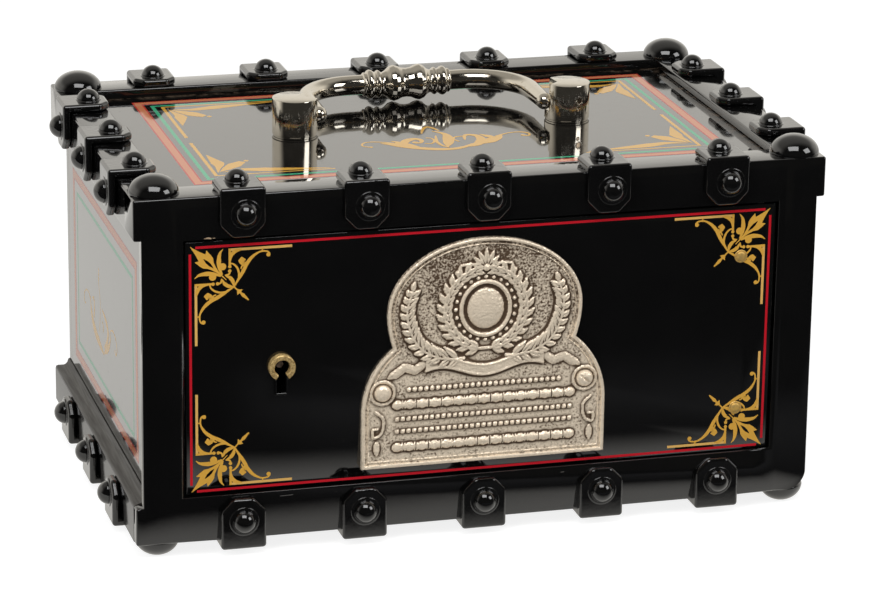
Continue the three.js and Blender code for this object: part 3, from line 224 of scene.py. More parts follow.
def hang_lamp(name, place, width, height, power, mirrored=True):
    """A square of light; one that isn't mirrored lights the box but shows in no gloss or metal"""
    data = bpy.data.lights.new(name, "AREA")
    data.shape = "RECTANGLE"
    data.size = width
    data.size_y = height
    data.energy = power
    lamp = bpy.data.objects.new(name, data)
    bpy.context.scene.collection.objects.link(lamp)
    lamp.location = place
    lamp.rotation_mode = "QUATERNION"
    lamp.rotation_quaternion = (Vector((0, 0, 0.1)) - Vector(place)).to_track_quat("-Z", "Y")
    lamp.visible_glossy = mirrored


lay_floor()
surround()
hang_lamp("overhead_lamp", (-0.2, -0.75, 1.35), 1.0, 0.7, 9.0)
hang_lamp("left_lamp", (-1.15, -0.95, 0.95), 0.75, 0.75, 9.5, mirrored=False)
hang_lamp("right_lamp", (1.2, -1.0, 1.0), 0.75, 0.75, 7.0)


# Edge castings. The front casting and the three top bands are cast iron, brushed with several
# coats of gloss black stove enamel that round every edge and leave a faint ripple and small nibs.
MM = 0.001
UNDERSIDE = 8.6
HALF_WIDTH = 177.5
HALF_DEPTH = 114.0
CASE_HEIGHT = 178.0
BAND_WIDTH = 20.7
EDGE_RADIUS = 1.1
OPENING_RADIUS = 2.2
OPENING_REACH = (154, 22, 157)
JOINT_SLACK = 0.4
CUT_SLACK = 0.01
FLAT_BELOW = 25
STRAP_LEG_TOP = -0.15
ENAMEL_BLACK = (0.0012, 0.0012, 0.0013, 1)
ENAMEL_WORN = (0.0032, 0.0031, 0.0031, 1)
ENAMEL_ROUGHNESS = (0.06, 0.12)
WEAR_PATCH = 22.0
GLOSS_PATCH = 9.0
NIB_SPACING = 5.5
NIB_RADIUS = 0.07
NIB_HEIGHT = 0.06


def case_point(x, y, z):
    return Vector((x * MM, y * MM, (z + UNDERSIDE) * MM))


def new_material(name):
    """A material, its tree and its surface shader"""
    material = bpy.data.materials.new(name)
    material.use_nodes = True
    tree = material.node_tree
    return material, tree, tree.nodes["Principled BSDF"]


def object_place(tree, size):
    """Object coordinates, with one pattern cell to each size in millimetres"""
    place = tree.nodes.new("ShaderNodeTexCoord").outputs["Object"]
    scaled = put(tree, "ShaderNodeVectorMath")
    scaled.operation = "SCALE"
    feed(tree, scaled.inputs["Scale"], 1 / (size * MM))
    feed(tree, scaled.inputs[0], place)
    return scaled.outputs[0]


def cloud(tree, size, detail=2.0):
    place = object_place(tree, size)
    return put(tree, "ShaderNodeTexNoise", Vector=place, Scale=1.0, Detail=detail).outputs["Fac"]


def nibs(tree, size, radius, share):
    """Small specks of grit under the paint, in a share of the cells"""
    cells = put(tree, "ShaderNodeTexVoronoi", Vector=object_place(tree, size), Scale=1.0)
    speck = fade(tree, cells.outputs["Distance"], 0.0, radius, 1, 0)
    pick = put(tree, "ShaderNodeSeparateXYZ", Vector=cells.outputs["Color"])
    return calculate(tree, "MULTIPLY", speck, calculate(tree, "GREATER_THAN", pick.outputs[0], 1 - share))


def bump(tree, height, depth, under=None):
    made = put(tree, "ShaderNodeBump", Strength=1.0, Distance=depth * MM, Height=height, Normal=under)
    return made.outputs["Normal"]


def enamel(name, ripple, ripple_depth, nib_share, deep=ENAMEL_BLACK, worn=ENAMEL_WORN):
    """Gloss enamel: a clear coat over a colour, rippled by the brush"""
    material, tree, paint = new_material(name)
    paint.inputs["IOR"].default_value = 1.5
    paint.inputs["Coat Weight"].default_value = 1.0
    paint.inputs["Coat Roughness"].default_value = 0.035
    paint.inputs["Coat IOR"].default_value = 1.5
    feed(tree, paint.inputs["Base Color"], blend(tree, cloud(tree, WEAR_PATCH), deep, worn))
    patchy = fade(tree, cloud(tree, GLOSS_PATCH, 4), 0.35, 0.75, *ENAMEL_ROUGHNESS)
    feed(tree, paint.inputs["Roughness"], patchy)
    waves = bump(tree, cloud(tree, ripple), ripple_depth)
    surface = bump(tree, nibs(tree, NIB_SPACING, NIB_RADIUS, nib_share), NIB_HEIGHT, waves)
    feed(tree, paint.inputs["Normal"], surface)
    feed(tree, paint.inputs["Coat Normal"], surface)
    return material


smooth_enamel = enamel("smooth_enamel", 7.0, 0.012, 0.16)
cast_enamel = enamel("cast_enamel", 4.5, 0.032, 0.3)


def new_piece(name, shape, material, smooth=True):
    for face in shape.faces:
        face.smooth = smooth
    mesh = bpy.data.meshes.new(name)
    shape.to_mesh(mesh)
    shape.free()
    mesh.materials.append(material)
    piece = bpy.data.objects.new(name, mesh)
    bpy.context.scene.collection.objects.link(piece)
    return piece


def merged_copy(node):
    """A copy of a node with its corners merged and its flat faces made whole"""
    shape = bmesh.new()
    shape.from_mesh(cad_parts[node].data)
    bmesh.ops.remove_doubles(shape, verts=shape.verts, dist=0.005 * MM)
    flatten(shape)
    return shape


def flatten(shape):
    bmesh.ops.dissolve_limit(shape, angle_limit=radians(0.5), verts=shape.verts, edges=shape.edges)


def whole_shape(shape):
    return shape.verts[:] + shape.edges[:] + shape.faces[:]


def cut_away(shape, point, outward):
    """Takes off what stands beyond a plane and closes the cut"""
    bmesh.ops.bisect_plane(
        shape, geom=whole_shape(shape), dist=CUT_SLACK * MM, plane_co=point, plane_no=outward,
        clear_outer=True,
    )
    open_edges = [edge for edge in shape.edges if edge.is_boundary]
    bmesh.ops.holes_fill(shape, edges=open_edges)
    loose = [vert for vert in shape.verts if not vert.link_faces]
    bmesh.ops.delete(shape, geom=loose, context="VERTS")


def score(shape, point, across):
    """Adds a line of edges where a plane crosses, with nothing taken off"""
    bmesh.ops.bisect_plane(
        shape, geom=whole_shape(shape), dist=CUT_SLACK * MM, plane_co=point, plane_no=across
    )


def mark_edges(shape, rounded):
    """Gives each outside corner that is to be rounded its bevel weight, and keeps the others crisp"""
    weights = shape.edges.layers.float.new("bevel_weight_edge")
    for edge in shape.edges:
        if len(edge.link_faces) != 2:
            continue
        angle = edge.calc_face_angle_signed(0)
        if abs(angle) < radians(FLAT_BELOW):
            continue
        if angle > 0 and rounded(edge):
            edge[weights] = 1.0
        else:
            edge.smooth = False


def round_edges(piece, radius, segments=3):
    soften = piece.modifiers.new("rounded", "BEVEL")
    soften.limit_method = "WEIGHT"
    soften.width = radius * MM
    soften.segments = segments
    soften.use_clamp_overlap = False
    soften.harden_normals = True


def crease_edges(shape, degrees):
    """Keeps the corners that are sharper than an angle crisp"""
    for edge in shape.edges:
        edge.smooth = edge.calc_face_angle(0) < radians(degrees)


def in_seam(edge, seams_y):
    """True where an edge lies in the joint between two bands"""
    y = [vert.co.y / MM for vert in edge.verts]
    return any(abs(y[0] - seam) < JOINT_SLACK and abs(y[1] - seam) < JOINT_SLACK for seam in seams_y)


def visible_edge(edge):
    """False for the edges hidden in a joint, of which only the part between the side bands shows"""
    joint = HALF_DEPTH - BAND_WIDTH
    if not in_seam(edge, (-joint, joint)):
        return True
    x = [abs(vert.co.x) / MM for vert in edge.verts]
    z = min(vert.co.z / MM for vert in edge.verts) - UNDERSIDE
    return max(x) < HALF_WIDTH - BAND_WIDTH + JOINT_SLACK and z > CASE_HEIGHT - 1


def close_joints(shape):
    """Closes the hairlines between the bands, which filler and paint hide, and marks where they meet"""
    joint = (HALF_DEPTH - BAND_WIDTH) * MM
    for vert in shape.verts:
        if abs(abs(vert.co.y) - joint) < JOINT_SLACK * MM:
            vert.co.y = joint if vert.co.y > 0 else -joint
    for hand in (-1, 1):
        score(shape, case_point(hand * (HALF_WIDTH - BAND_WIDTH), 0, 0), Vector((1, 0, 0)))


def band_piece(node, name):
    shape = merged_copy(node)
    close_joints(shape)
    mark_edges(shape, visible_edge)
    piece = new_piece(name, shape, cast_enamel)
    round_edges(piece, EDGE_RADIUS)
    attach(piece, "case")
    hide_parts(node)


def soften_opening(shape):
    """Gives the front corner of the door opening a wider curve than the casting's other corners"""
    weights = shape.edges.layers.float["bevel_weight_edge"]
    reach, low, high = OPENING_REACH
    for edge in shape.edges:
        at_front = all(vert.co.y < (1 - HALF_DEPTH) * MM for vert in edge.verts)
        inside = all(
            abs(vert.co.x) < reach * MM and low < vert.co.z / MM - UNDERSIDE < high for vert in edge.verts
        )
        if not (at_front and inside):
            edge[weights] *= EDGE_RADIUS / OPENING_RADIUS


def front_casting():
    """The casting without its lower straps, which have a piece of their own"""
    shape = merged_copy("front_frame")
    cut_away(shape, case_point(0, 0, STRAP_LEG_TOP), Vector((0, 0, -1)))
    cut_away(shape, case_point(0, -HALF_DEPTH, 0), Vector((0, -1, 0)))
    flatten(shape)
    close_joints(shape)
    mark_edges(shape, lambda edge: visible_edge(edge) and long_enough(edge))
    soften_opening(shape)
    piece = new_piece("front_casting", shape, cast_enamel)
    round_edges(piece, OPENING_RADIUS)
    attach(piece, "case")
    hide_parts("front_frame")


def long_enough(edge):
    """Leaves the small pin holes crisp"""
    return edge.calc_length() > 2.5 * MM


front_casting()
band_piece("left_top_band", "left_band")
band_piece("right_top_band", "right_band")
band_piece("rear_top_band", "rear_band")


# Panels. The sides, roof, back and floor are flat iron plates in the same gloss black, set behind
# the bands. The roof keeps a line of brown dust in the corner along its bands.
DUST_BROWN = (0.12, 0.085, 0.058, 1)
ROOF_EDGE_X = 156.8
ROOF_EDGE_Y = 93.3
DUST_REACH = 7.0
DUST_PATCH = 5.0
DUST_MATT = 0.4


def dusty_enamel():
    material = smooth_enamel.copy()
    material.name = "dusty_enamel"
    tree = material.node_tree
    paint = tree.nodes["Principled BSDF"]
    black = paint.inputs["Base Color"].links[0].from_socket
    smooth = paint.inputs["Roughness"].links[0].from_socket
    place = axes(tree)
    edge_x = fade(tree, place["X"], (ROOF_EDGE_X - DUST_REACH) * MM, ROOF_EDGE_X * MM)
    edge_y = fade(tree, place["Y"], (ROOF_EDGE_Y - DUST_REACH) * MM, ROOF_EDGE_Y * MM)
    patchy = fade(tree, cloud(tree, DUST_PATCH, 5), 0.35, 0.7)
    dust = calculate(tree, "MULTIPLY", calculate(tree, "MAXIMUM", edge_x, edge_y), patchy)
    feed(tree, paint.inputs["Base Color"], blend(tree, dust, black, DUST_BROWN))
    matt = calculate(tree, "MULTIPLY", dust, DUST_MATT)
    feed(tree, paint.inputs["Roughness"], calculate(tree, "ADD", smooth, matt))
    return material


def finish_node(node, material):
    """Gives a CAD node its finish"""
    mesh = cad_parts[node].data
    mesh.materials.clear()
    mesh.materials.append(material)


finish_node("top_panel", dusty_enamel())
for panel in ("left_side_panel", "right_side_panel", "back_panel", "bottom_panel"):
    finish_node(panel, smooth_enamel)


# Plinth bars. Cast bars along the foot of the sides and back, hollowed along the top, where the
# paint has dulled to a dark brown grey with streaks from cleaning.
PLINTH_HEIGHT = 19.5
FRONT_SEAM_Y = -106.8
RIGHT_BAR_START = 9.0
PLINTH_FADE = 2.0
PLINTH_ROUGHNESS = 0.1
STREAK_SCALE = (900, 40, 900)
STREAK_MATT = (0.3, 0.5)
STREAK_DEPTH = 0.02
PLINTH_GREY = (0.030, 0.026, 0.022, 1)
PLINTH_BROWN = (0.013, 0.010, 0.008, 1)
PLINTH_SECTION = (
    (0, 0), (0, 17.6), (0.3, 18.9), (1.2, 19.6), (2.4, 19.9), (3.6, 20.3), (4.8, 21.2),
    (5.6, 22.6), (6.0, 24.2), (6.4, 24.9), (6.7, 24.9), (6.7, 0),
)


def streaked_enamel():
    """Dulled enamel with fine streaks along the bars"""
    material, tree, paint = new_material("streaked_enamel")
    paint.inputs["Coat Weight"].default_value = 0.2
    paint.inputs["Coat Roughness"].default_value = 0.15
    place = tree.nodes.new("ShaderNodeTexCoord").outputs["Object"]
    stretched = put(tree, "ShaderNodeMapping", Vector=place, Scale=STREAK_SCALE).outputs[0]
    streaks = put(tree, "ShaderNodeTexNoise", Vector=stretched, Scale=1.0, Detail=3.0).outputs["Fac"]
    top_height = PLINTH_HEIGHT + UNDERSIDE
    top = fade(tree, axes(tree)["Z"], (top_height - PLINTH_FADE) * MM, top_height * MM)
    worn = blend(tree, streaks, PLINTH_BROWN, PLINTH_GREY)
    feed(tree, paint.inputs["Base Color"], blend(tree, top, ENAMEL_BLACK, worn))
    dull = calculate(tree, "MULTIPLY", top, fade(tree, streaks, 0.3, 0.7, *STREAK_MATT))
    feed(tree, paint.inputs["Roughness"], calculate(tree, "ADD", dull, PLINTH_ROUGHNESS))
    feed(tree, paint.inputs["Normal"], bump(tree, streaks, STREAK_DEPTH))
    return material


dull_enamel = streaked_enamel()


def join_rows(shape, rows):
    """Faces between each row of corners and the next"""
    for low, high in zip(rows, rows[1:]):
        for i in range(len(low)):
            j = (i + 1) % len(low)
            shape.faces.new((low[i], low[j], high[j], high[i]))


def close_rows(shape, rows):
    """Faces between rows of corners, and one over each end"""
    join_rows(shape, rows)
    shape.faces.new(rows[0])
    shape.faces.new(rows[-1])


def run_section(shape, section, place):
    """A straight bar: a section of (inward, height) pairs drawn out between two places"""
    close_rows(shape, [
        [shape.verts.new(at @ Vector((0, u * MM, v * MM))) for u, v in section] for at in place
    ])


def side_frame(turn, outward, along):
    """A frame whose X runs along one side of the case and whose Y points inwards from its face"""
    shift = Matrix.Translation(Vector((along, -outward, 0)) * MM)
    lift = Matrix.Translation(Vector((0, 0, UNDERSIDE * MM)))
    return lift @ (Matrix.Rotation(radians(turn), 4, "Z") @ shift)


def plinth_piece(name, node, turn, outward, from_x, to_x, mitres):
    """A bar along one side, cut at each rear corner across the given (corner side, facing) pairs"""
    shape = bmesh.new()
    run_section(shape, PLINTH_SECTION, [side_frame(turn, outward, x) for x in (from_x, to_x)])
    bmesh.ops.recalc_face_normals(shape, faces=shape.faces)
    for hand, facing in mitres:
        cut_away(shape, case_point(hand * HALF_WIDTH, HALF_DEPTH, 0), Vector((-hand, 1, 0)) * facing)
    crease_edges(shape, 40)
    piece = new_piece(name, shape, dull_enamel)
    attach(piece, "case")
    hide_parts(node)


left_mitre, right_mitre = ((-1, 1),), ((1, 1),)
rear_mitres = ((-1, -1), (1, -1))
right_start = FRONT_SEAM_Y + RIGHT_BAR_START
plinth_piece("left_plinth", "left_plinth_bar", -90, HALF_WIDTH, -HALF_DEPTH, -FRONT_SEAM_Y, left_mitre)
plinth_piece("right_plinth", "right_plinth_bar", 90, HALF_WIDTH, right_start, HALF_DEPTH, right_mitre)
plinth_piece("rear_plinth", "rear_plinth_bar", 180, HALF_DEPTH, -HALF_WIDTH, HALF_WIDTH, rear_mitres)


# Corner straps. Wrought angle brackets stand over the bands, each held by two rivets with round
# heads; short ones wrap under the case below. Thick paint rounds their edges and rings each head.
STRAP_WIDTH = 23.0
STRAP_THICKNESS = 4.3
STRAP_REACH = 21.0
STRAP_DROP = 21.0
STRAP_SIDE_CORNER = 6.4
STRAP_TOP_CORNER = 5.0
STRAP_PITCH = 62.0
HEAD_RADIUS = 6.2
HEAD_HEIGHT = 5.6
HEAD_SIDES = 32
SIDE_HEAD_SHIFT = 1.3
HEAD_INSET = 11.0
HEAD_DROP = 9.0
PAINT_RING = 7.6
TOP_PAINT_RING = 6.8
LOWER_SINK = 4.5
LOWER_REACH = 18.0
LOWER_HEAD = 10.2
FRONT_LOWER_TOP = 22.0
SIDE_LOWER_TOP = 18.0
STRAP_ROUNDING = 1.8
STRAP_ROUNDING_STEPS = 4
strap_enamel = enamel("strap_enamel", 3.6, 0.075, 0.35)


def turn_profile(shape, profile, segments, place):
    """Turns (radius, height) pairs about the Z axis of a place; the ends close on the axis"""
    rings = []
    for radius, height in profile:
        count = segments if radius > 0 else 1
        turns = [2 * pi * step / segments for step in range(count)]
        ring = [Vector((radius * cos(turn), radius * sin(turn), height)) * MM for turn in turns]
        rings.append([shape.verts.new(place @ corner) for corner in ring])
    for low, high in zip(rings, rings[1:]):
        for step in range(segments):
            after = (step + 1) % segments
            at = ((low, step), (low, after), (high, after), (high, step))
            corners = [ring[index % len(ring)] for ring, index in at]
            shape.faces.new(list(dict.fromkeys(corners)))


def dome_profile(radius, height, ring, rings=12):
    """A round head, drawn in a little at its foot, with a bead of paint round it"""
    neck = radius * 0.93
    profile = [(0, -0.4), (ring, -0.4), (ring, 0.02), (ring - 0.35, 0.3), (neck + 0.5, 0.34), (neck, 0.3)]
    middle = height - radius
    low = asin((0.6 - middle) / radius)
    for step in range(rings):
        angle = low + (pi / 2 - low) * step / rings
        profile.append((radius * cos(angle), middle + radius * sin(angle)))
    return profile + [(0, height)]


def facing_out(x, y, z):
    """A place whose Z axis points out of the side"""
    return Matrix.Translation(Vector((x, y, z)) * MM) @ Matrix.Rotation(pi / 2, 4, "X")


def weigh_edges(shape):
    """Marks the sharp outside corners for rounding"""
    weights = shape.edges.layers.float.new("bevel_weight_edge")
    for edge in shape.edges:
        if edge.calc_face_angle_signed(0) > radians(40):
            edge[weights] = 1.0


def loose_shape(name, shape, material):
    """A shape that only the geometry nodes use"""
    bmesh.ops.recalc_face_normals(shape, faces=shape.faces)
    piece = new_piece(name, shape, material)
    bpy.context.scene.collection.objects.unlink(piece)
    return piece


def slant_cut(shape, x, y, z, outward):
    for hand in (-1, 1):
        cut_away(shape, Vector((hand * x, y, z)) * MM, Vector((hand, outward[0], outward[1])))


def strap_blank(section):
    """A bent section drawn out to the width of a strap"""
    shape = bmesh.new()
    ends = [Matrix.Translation(Vector((x * MM, 0, 0))) for x in (-STRAP_WIDTH / 2, STRAP_WIDTH / 2)]
    run_section(shape, section, ends)
    bmesh.ops.recalc_face_normals(shape, faces=shape.faces)
    return shape


def top_strap_shape():
    thick, half = STRAP_THICKNESS, STRAP_WIDTH / 2
    shape = strap_blank((
        (-thick, -STRAP_DROP), (0, -STRAP_DROP), (0, 0),
        (STRAP_REACH, 0), (STRAP_REACH, thick), (-thick, thick),
    ))
    slant_cut(shape, half - STRAP_SIDE_CORNER, -thick, -STRAP_DROP, (0, -1))
    slant_cut(shape, half - STRAP_TOP_CORNER, STRAP_REACH, thick, (1, 0))
    weigh_edges(shape)
    top_head = dome_profile(HEAD_RADIUS, HEAD_HEIGHT, TOP_PAINT_RING)
    turn_profile(shape, top_head, HEAD_SIDES, Matrix.Translation(Vector((0, HEAD_INSET, thick)) * MM))
    side_head = dome_profile(HEAD_RADIUS, HEAD_HEIGHT, PAINT_RING)
    turn_profile(shape, side_head, HEAD_SIDES, facing_out(SIDE_HEAD_SHIFT, -thick, -HEAD_DROP))
    return loose_shape("top_strap_shape", shape, strap_enamel)


def lower_strap_shape(name, top):
    thick, half = STRAP_THICKNESS, STRAP_WIDTH / 2
    shape = strap_blank((
        (-thick, -LOWER_SINK), (LOWER_REACH, -LOWER_SINK), (LOWER_REACH, -0.1),
        (0, -0.1), (0, top), (-thick, top),
    ))
    slant_cut(shape, half - STRAP_SIDE_CORNER, -thick, top, (0, 1))
    weigh_edges(shape)
    head = dome_profile(HEAD_RADIUS, HEAD_HEIGHT, PAINT_RING)
    turn_profile(shape, head, HEAD_SIDES, facing_out(0, -thick, LOWER_HEAD))
    return loose_shape(name, shape, strap_enamel)


def new_tree(name, sockets):
    """A tree with named inputs, each given as its name, its kind and, where it has one, its usual value"""
    tree = bpy.data.node_groups.new(name, "GeometryNodeTree")
    for label, kind, *usual in sockets:
        made = tree.interface.new_socket(name=label, in_out="INPUT", socket_type="NodeSocket" + kind)
        if usual:
            made.default_value = usual[0]
    return tree, tree.nodes.new("NodeGroupInput").outputs


def shape_source(tree, given):
    """The shape that a tree sets out"""
    source = put(tree, "GeometryNodeObjectInfo", Object=given["Shape"], As_Instance=True)
    return source.outputs["Geometry"]


def end_tree(tree, given, geometries):
    """Joins what a tree made, makes it real and gives it its finish"""
    joined = tree.nodes.new("GeometryNodeJoinGeometry")
    for geometry in geometries:
        tree.links.new(geometry, joined.inputs[0])
    real = tree.nodes.new("GeometryNodeRealizeInstances")
    tree.links.new(joined.outputs[0], real.inputs[0])
    painted = put(tree, "GeometryNodeSetMaterial", Geometry=real.outputs[0], Material=given["Finish"])
    tree.interface.new_socket(name="Geometry", in_out="OUTPUT", socket_type="NodeSocketGeometry")
    output = tree.nodes.new("NodeGroupOutput")
    tree.links.new(painted.outputs[0], output.inputs[0])


def combined(tree, **parts):
    return put(tree, "ShaderNodeCombineXYZ", **parts).outputs[0]


def rows_tree():
    """Sets a shape at even steps along one pair of opposite sides of the case"""
    tree, given = new_tree("strap_rows", (
        ("Shape", "Object"), ("Finish", "Material"), ("Count", "Int", 5),
        ("Pitch", "Float", STRAP_PITCH * MM), ("First Turn", "Float", 0.0),
        ("Outward", "Float", HALF_DEPTH * MM), ("Height", "Float", CASE_HEIGHT * MM),
        ("Both Sides", "Bool", True),
    ))
    reach = calculate(tree, "MULTIPLY", calculate(tree, "SUBTRACT", given["Count"], 1.0), given["Pitch"])
    start = combined(
        tree, X=calculate(tree, "MULTIPLY", reach, -0.5),
        Y=calculate(tree, "MULTIPLY", given["Outward"], -1.0), Z=given["Height"],
    )
    step = combined(tree, X=given["Pitch"])
    row = put(tree, "GeometryNodeMeshLine", Count=given["Count"], Start_Location=start, Offset=step)
    straps = put(
        tree, "GeometryNodeInstanceOnPoints", Points=row.outputs[0], Instance=shape_source(tree, given)
    )
    sides = []
    for extra in (0.0, pi):
        turn = combined(tree, Z=calculate(tree, "ADD", given["First Turn"], extra))
        turned = put(tree, "GeometryNodeTransform", Geometry=straps.outputs[0], Rotation=turn)
        sides.append(turned.outputs[0])
    switch = tree.nodes.new("GeometryNodeSwitch")
    switch.input_type = "GEOMETRY"
    tree.links.new(given["Both Sides"], switch.inputs[0])
    tree.links.new(sides[1], switch.inputs["True"])
    end_tree(tree, given, (sides[0], switch.outputs[0]))
    return tree


def grown_mesh(tree, values):
    """Runs a tree once and returns the plain mesh that it makes"""
    grower = bpy.data.objects.new("grower", bpy.data.meshes.new("grower"))
    bpy.context.scene.collection.objects.link(grower)
    modifier = grower.modifiers.new("tree", "NODES")
    modifier.node_group = tree
    for item in tree.interface.items_tree:
        if item.item_type == "SOCKET" and item.in_out == "INPUT" and item.name in values:
            modifier[item.identifier] = values[item.name]
    grower.update_tag()
    ready = grower.evaluated_get(bpy.context.evaluated_depsgraph_get())
    mesh = bpy.data.meshes.new_from_object(ready)
    bpy.data.objects.remove(grower)
    return mesh


def joined_piece(name, meshes, material):
    """One piece from several plain meshes, with their edge weights kept"""
    shape = bmesh.new()
    for mesh in meshes:
        shape.from_mesh(mesh)
        bpy.data.meshes.remove(mesh)
    return new_piece(name, shape, material)


strap_rows = rows_tree()
side_x = {"First Turn": pi / 2, "Outward": HALF_WIDTH * MM, "Count": 3}
top_strap = top_strap_shape()
front_lower_strap = lower_strap_shape("front_lower_strap_shape", FRONT_LOWER_TOP)
side_lower_strap = lower_strap_shape("side_lower_strap_shape", SIDE_LOWER_TOP)
top_values = {"Shape": top_strap, "Finish": strap_enamel, "Height": (CASE_HEIGHT + UNDERSIDE) * MM}
side_values = {"Shape": side_lower_strap, "Finish": strap_enamel, "Height": UNDERSIDE * MM}
front_values = side_values | {"Shape": front_lower_strap, "Both Sides": False}
top_straps = joined_piece(
    "top_straps",
    [grown_mesh(strap_rows, top_values), grown_mesh(strap_rows, top_values | side_x)],
    strap_enamel,
)
lower_straps = joined_piece(
    "lower_straps",
    [
        grown_mesh(strap_rows, front_values),
        grown_mesh(strap_rows, front_values | {"Shape": side_lower_strap, "First Turn": pi}),
        grown_mesh(strap_rows, side_values | side_x),
    ],
    strap_enamel,
)
strap_nodes = [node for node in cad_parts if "_strap_" in node]
for straps in (top_straps, lower_straps):
    round_edges(straps, STRAP_ROUNDING, STRAP_ROUNDING_STEPS)
    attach(straps, "case")
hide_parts(*strap_nodes)


# Corner studs and feet. Solid iron domes are screwed into the top corners and, turned over, under
# the bottom ones, where the floor has worn their tips flat. They are painted with the case.
STUD_RADIUS = 12.6
STUD_HEIGHT = 9.2
STUD_INSET = 12.7
STUD_SEGMENTS = 48
FOOT_RADIUS = 11.2


def stud_shape(name, radius, flat_at):
    """A dome that rises along Z, worn flat at a height"""
    profile = [(0, -0.6), (radius - 0.4, -0.6), (radius, 0.1)]
    for step in range(1, 14):
        angle = pi / 2 * step / 14
        height = STUD_HEIGHT * sin(angle)
        if height < flat_at - 0.02:
            profile.append((radius * cos(angle), height))
    if flat_at < STUD_HEIGHT:
        profile.append((radius * sqrt(1 - (flat_at / STUD_HEIGHT) ** 2), flat_at))
    shape = bmesh.new()
    turn_profile(shape, profile + [(0, min(flat_at, STUD_HEIGHT))], STUD_SEGMENTS, Matrix())
    return loose_shape(name, shape, smooth_enamel)


def corners_tree():
    """Sets a shape at the four corners of a rectangle"""
    tree, given = new_tree("corner_set", (
        ("Shape", "Object"), ("Finish", "Material"),
        ("Width", "Float", 2 * (HALF_WIDTH - STUD_INSET) * MM),
        ("Depth", "Float", 2 * (HALF_DEPTH - STUD_INSET) * MM),
        ("Height", "Float", CASE_HEIGHT * MM), ("Turn Over", "Float", 0.0),
    ))
    corners = put(
        tree, "GeometryNodeMeshGrid", Vertices_X=2, Vertices_Y=2, Size_X=given["Width"], Size_Y=given["Depth"]
    )
    studs = put(
        tree, "GeometryNodeInstanceOnPoints", Points=corners.outputs[0],
        Instance=shape_source(tree, given), Rotation=combined(tree, X=given["Turn Over"]),
    )
    raised = combined(tree, Z=given["Height"])
    placed = put(tree, "GeometryNodeTransform", Geometry=studs.outputs[0], Translation=raised)
    end_tree(tree, given, (placed.outputs[0],))
    return tree


corner_set = corners_tree()
for name, word, radius, flat_at, height, turn_over in (
    ("corner_studs", "_stud", STUD_RADIUS, STUD_HEIGHT, CASE_HEIGHT + 0.1, 0.0),
    ("corner_feet", "_foot", FOOT_RADIUS, UNDERSIDE, 0.0, pi),
):
    values = {
        "Shape": stud_shape(word.strip("_") + "_shape", radius, flat_at),
        "Finish": smooth_enamel,
        "Height": (height + UNDERSIDE) * MM,
        "Turn Over": turn_over,
    }
    studs = joined_piece(name, [grown_mesh(corner_set, values)], smooth_enamel)
    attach(studs, "case")
    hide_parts(*[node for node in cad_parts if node.endswith(word)])


# Painted lines. A sign painter lined the panels: red round the door, a salmon band with red edges
# and a green line on the roof and sides, and gold scrolls in the corners. Every stroke is a film
# of paint that stands a hair proud of the panel, and each is a hair thicker than the last.
PAINT_SUNK = 0.02
PAINT_FILM = 0.022
PAINT_STEP = 0.002
CURVE_STEPS = 8
DOT_STEPS = 12
DOOR_FRONT = 112.0
ROOF_TOP = 173.0
SIDE_FACE = 170.6
RED = (0.56, 0.011, 0.022, 1)
SALMON_RED = (0.50, 0.045, 0.030, 1)
SALMON = (0.62, 0.215, 0.10, 1)
GREEN = (0.05, 0.42, 0.22, 1)
GOLD = (0.72, 0.39, 0.06, 1)
PALE_GOLD = (0.76, 0.45, 0.13, 1)


def paint_colour(name, colour):
    """Sign paint, with less gloss than the enamel under it"""
    deeper = tuple(part * 0.86 for part in colour[:3]) + (1,)
    material = enamel(name, 5.0, 0.012, 0.1, deeper, colour)
    material.node_tree.nodes["Principled BSDF"].inputs["Coat Weight"].default_value = 0.15
    return material


def face_plane(origin, across, up):
    """A frame on one face of the box: X across it, Y up it and Z out of it"""
    out = Vector(across).cross(Vector(up))
    turn = Matrix((across, up, out)).transposed().to_4x4()
    return Matrix.Translation(case_point(*origin)) @ turn @ Matrix.Scale(MM, 4)


def smooth_path(points):
    """Points along a smooth curve through the given ones"""
    given = np.array(points, float)
    given = np.vstack((2 * given[0] - given[1], given, 2 * given[-1] - given[-2]))
    path = []
    for a, b, c, d in zip(given, given[1:], given[2:], given[3:]):
        square, cube = a - 2.5 * b + 2 * c - d / 2, (d - a + 3 * (b - c)) / 2
        for s in np.arange(CURVE_STEPS) / CURVE_STEPS:
            path.append(b + (c - a) * s / 2 + square * s**2 + cube * s**3)
    return np.array(path + [given[-2]])


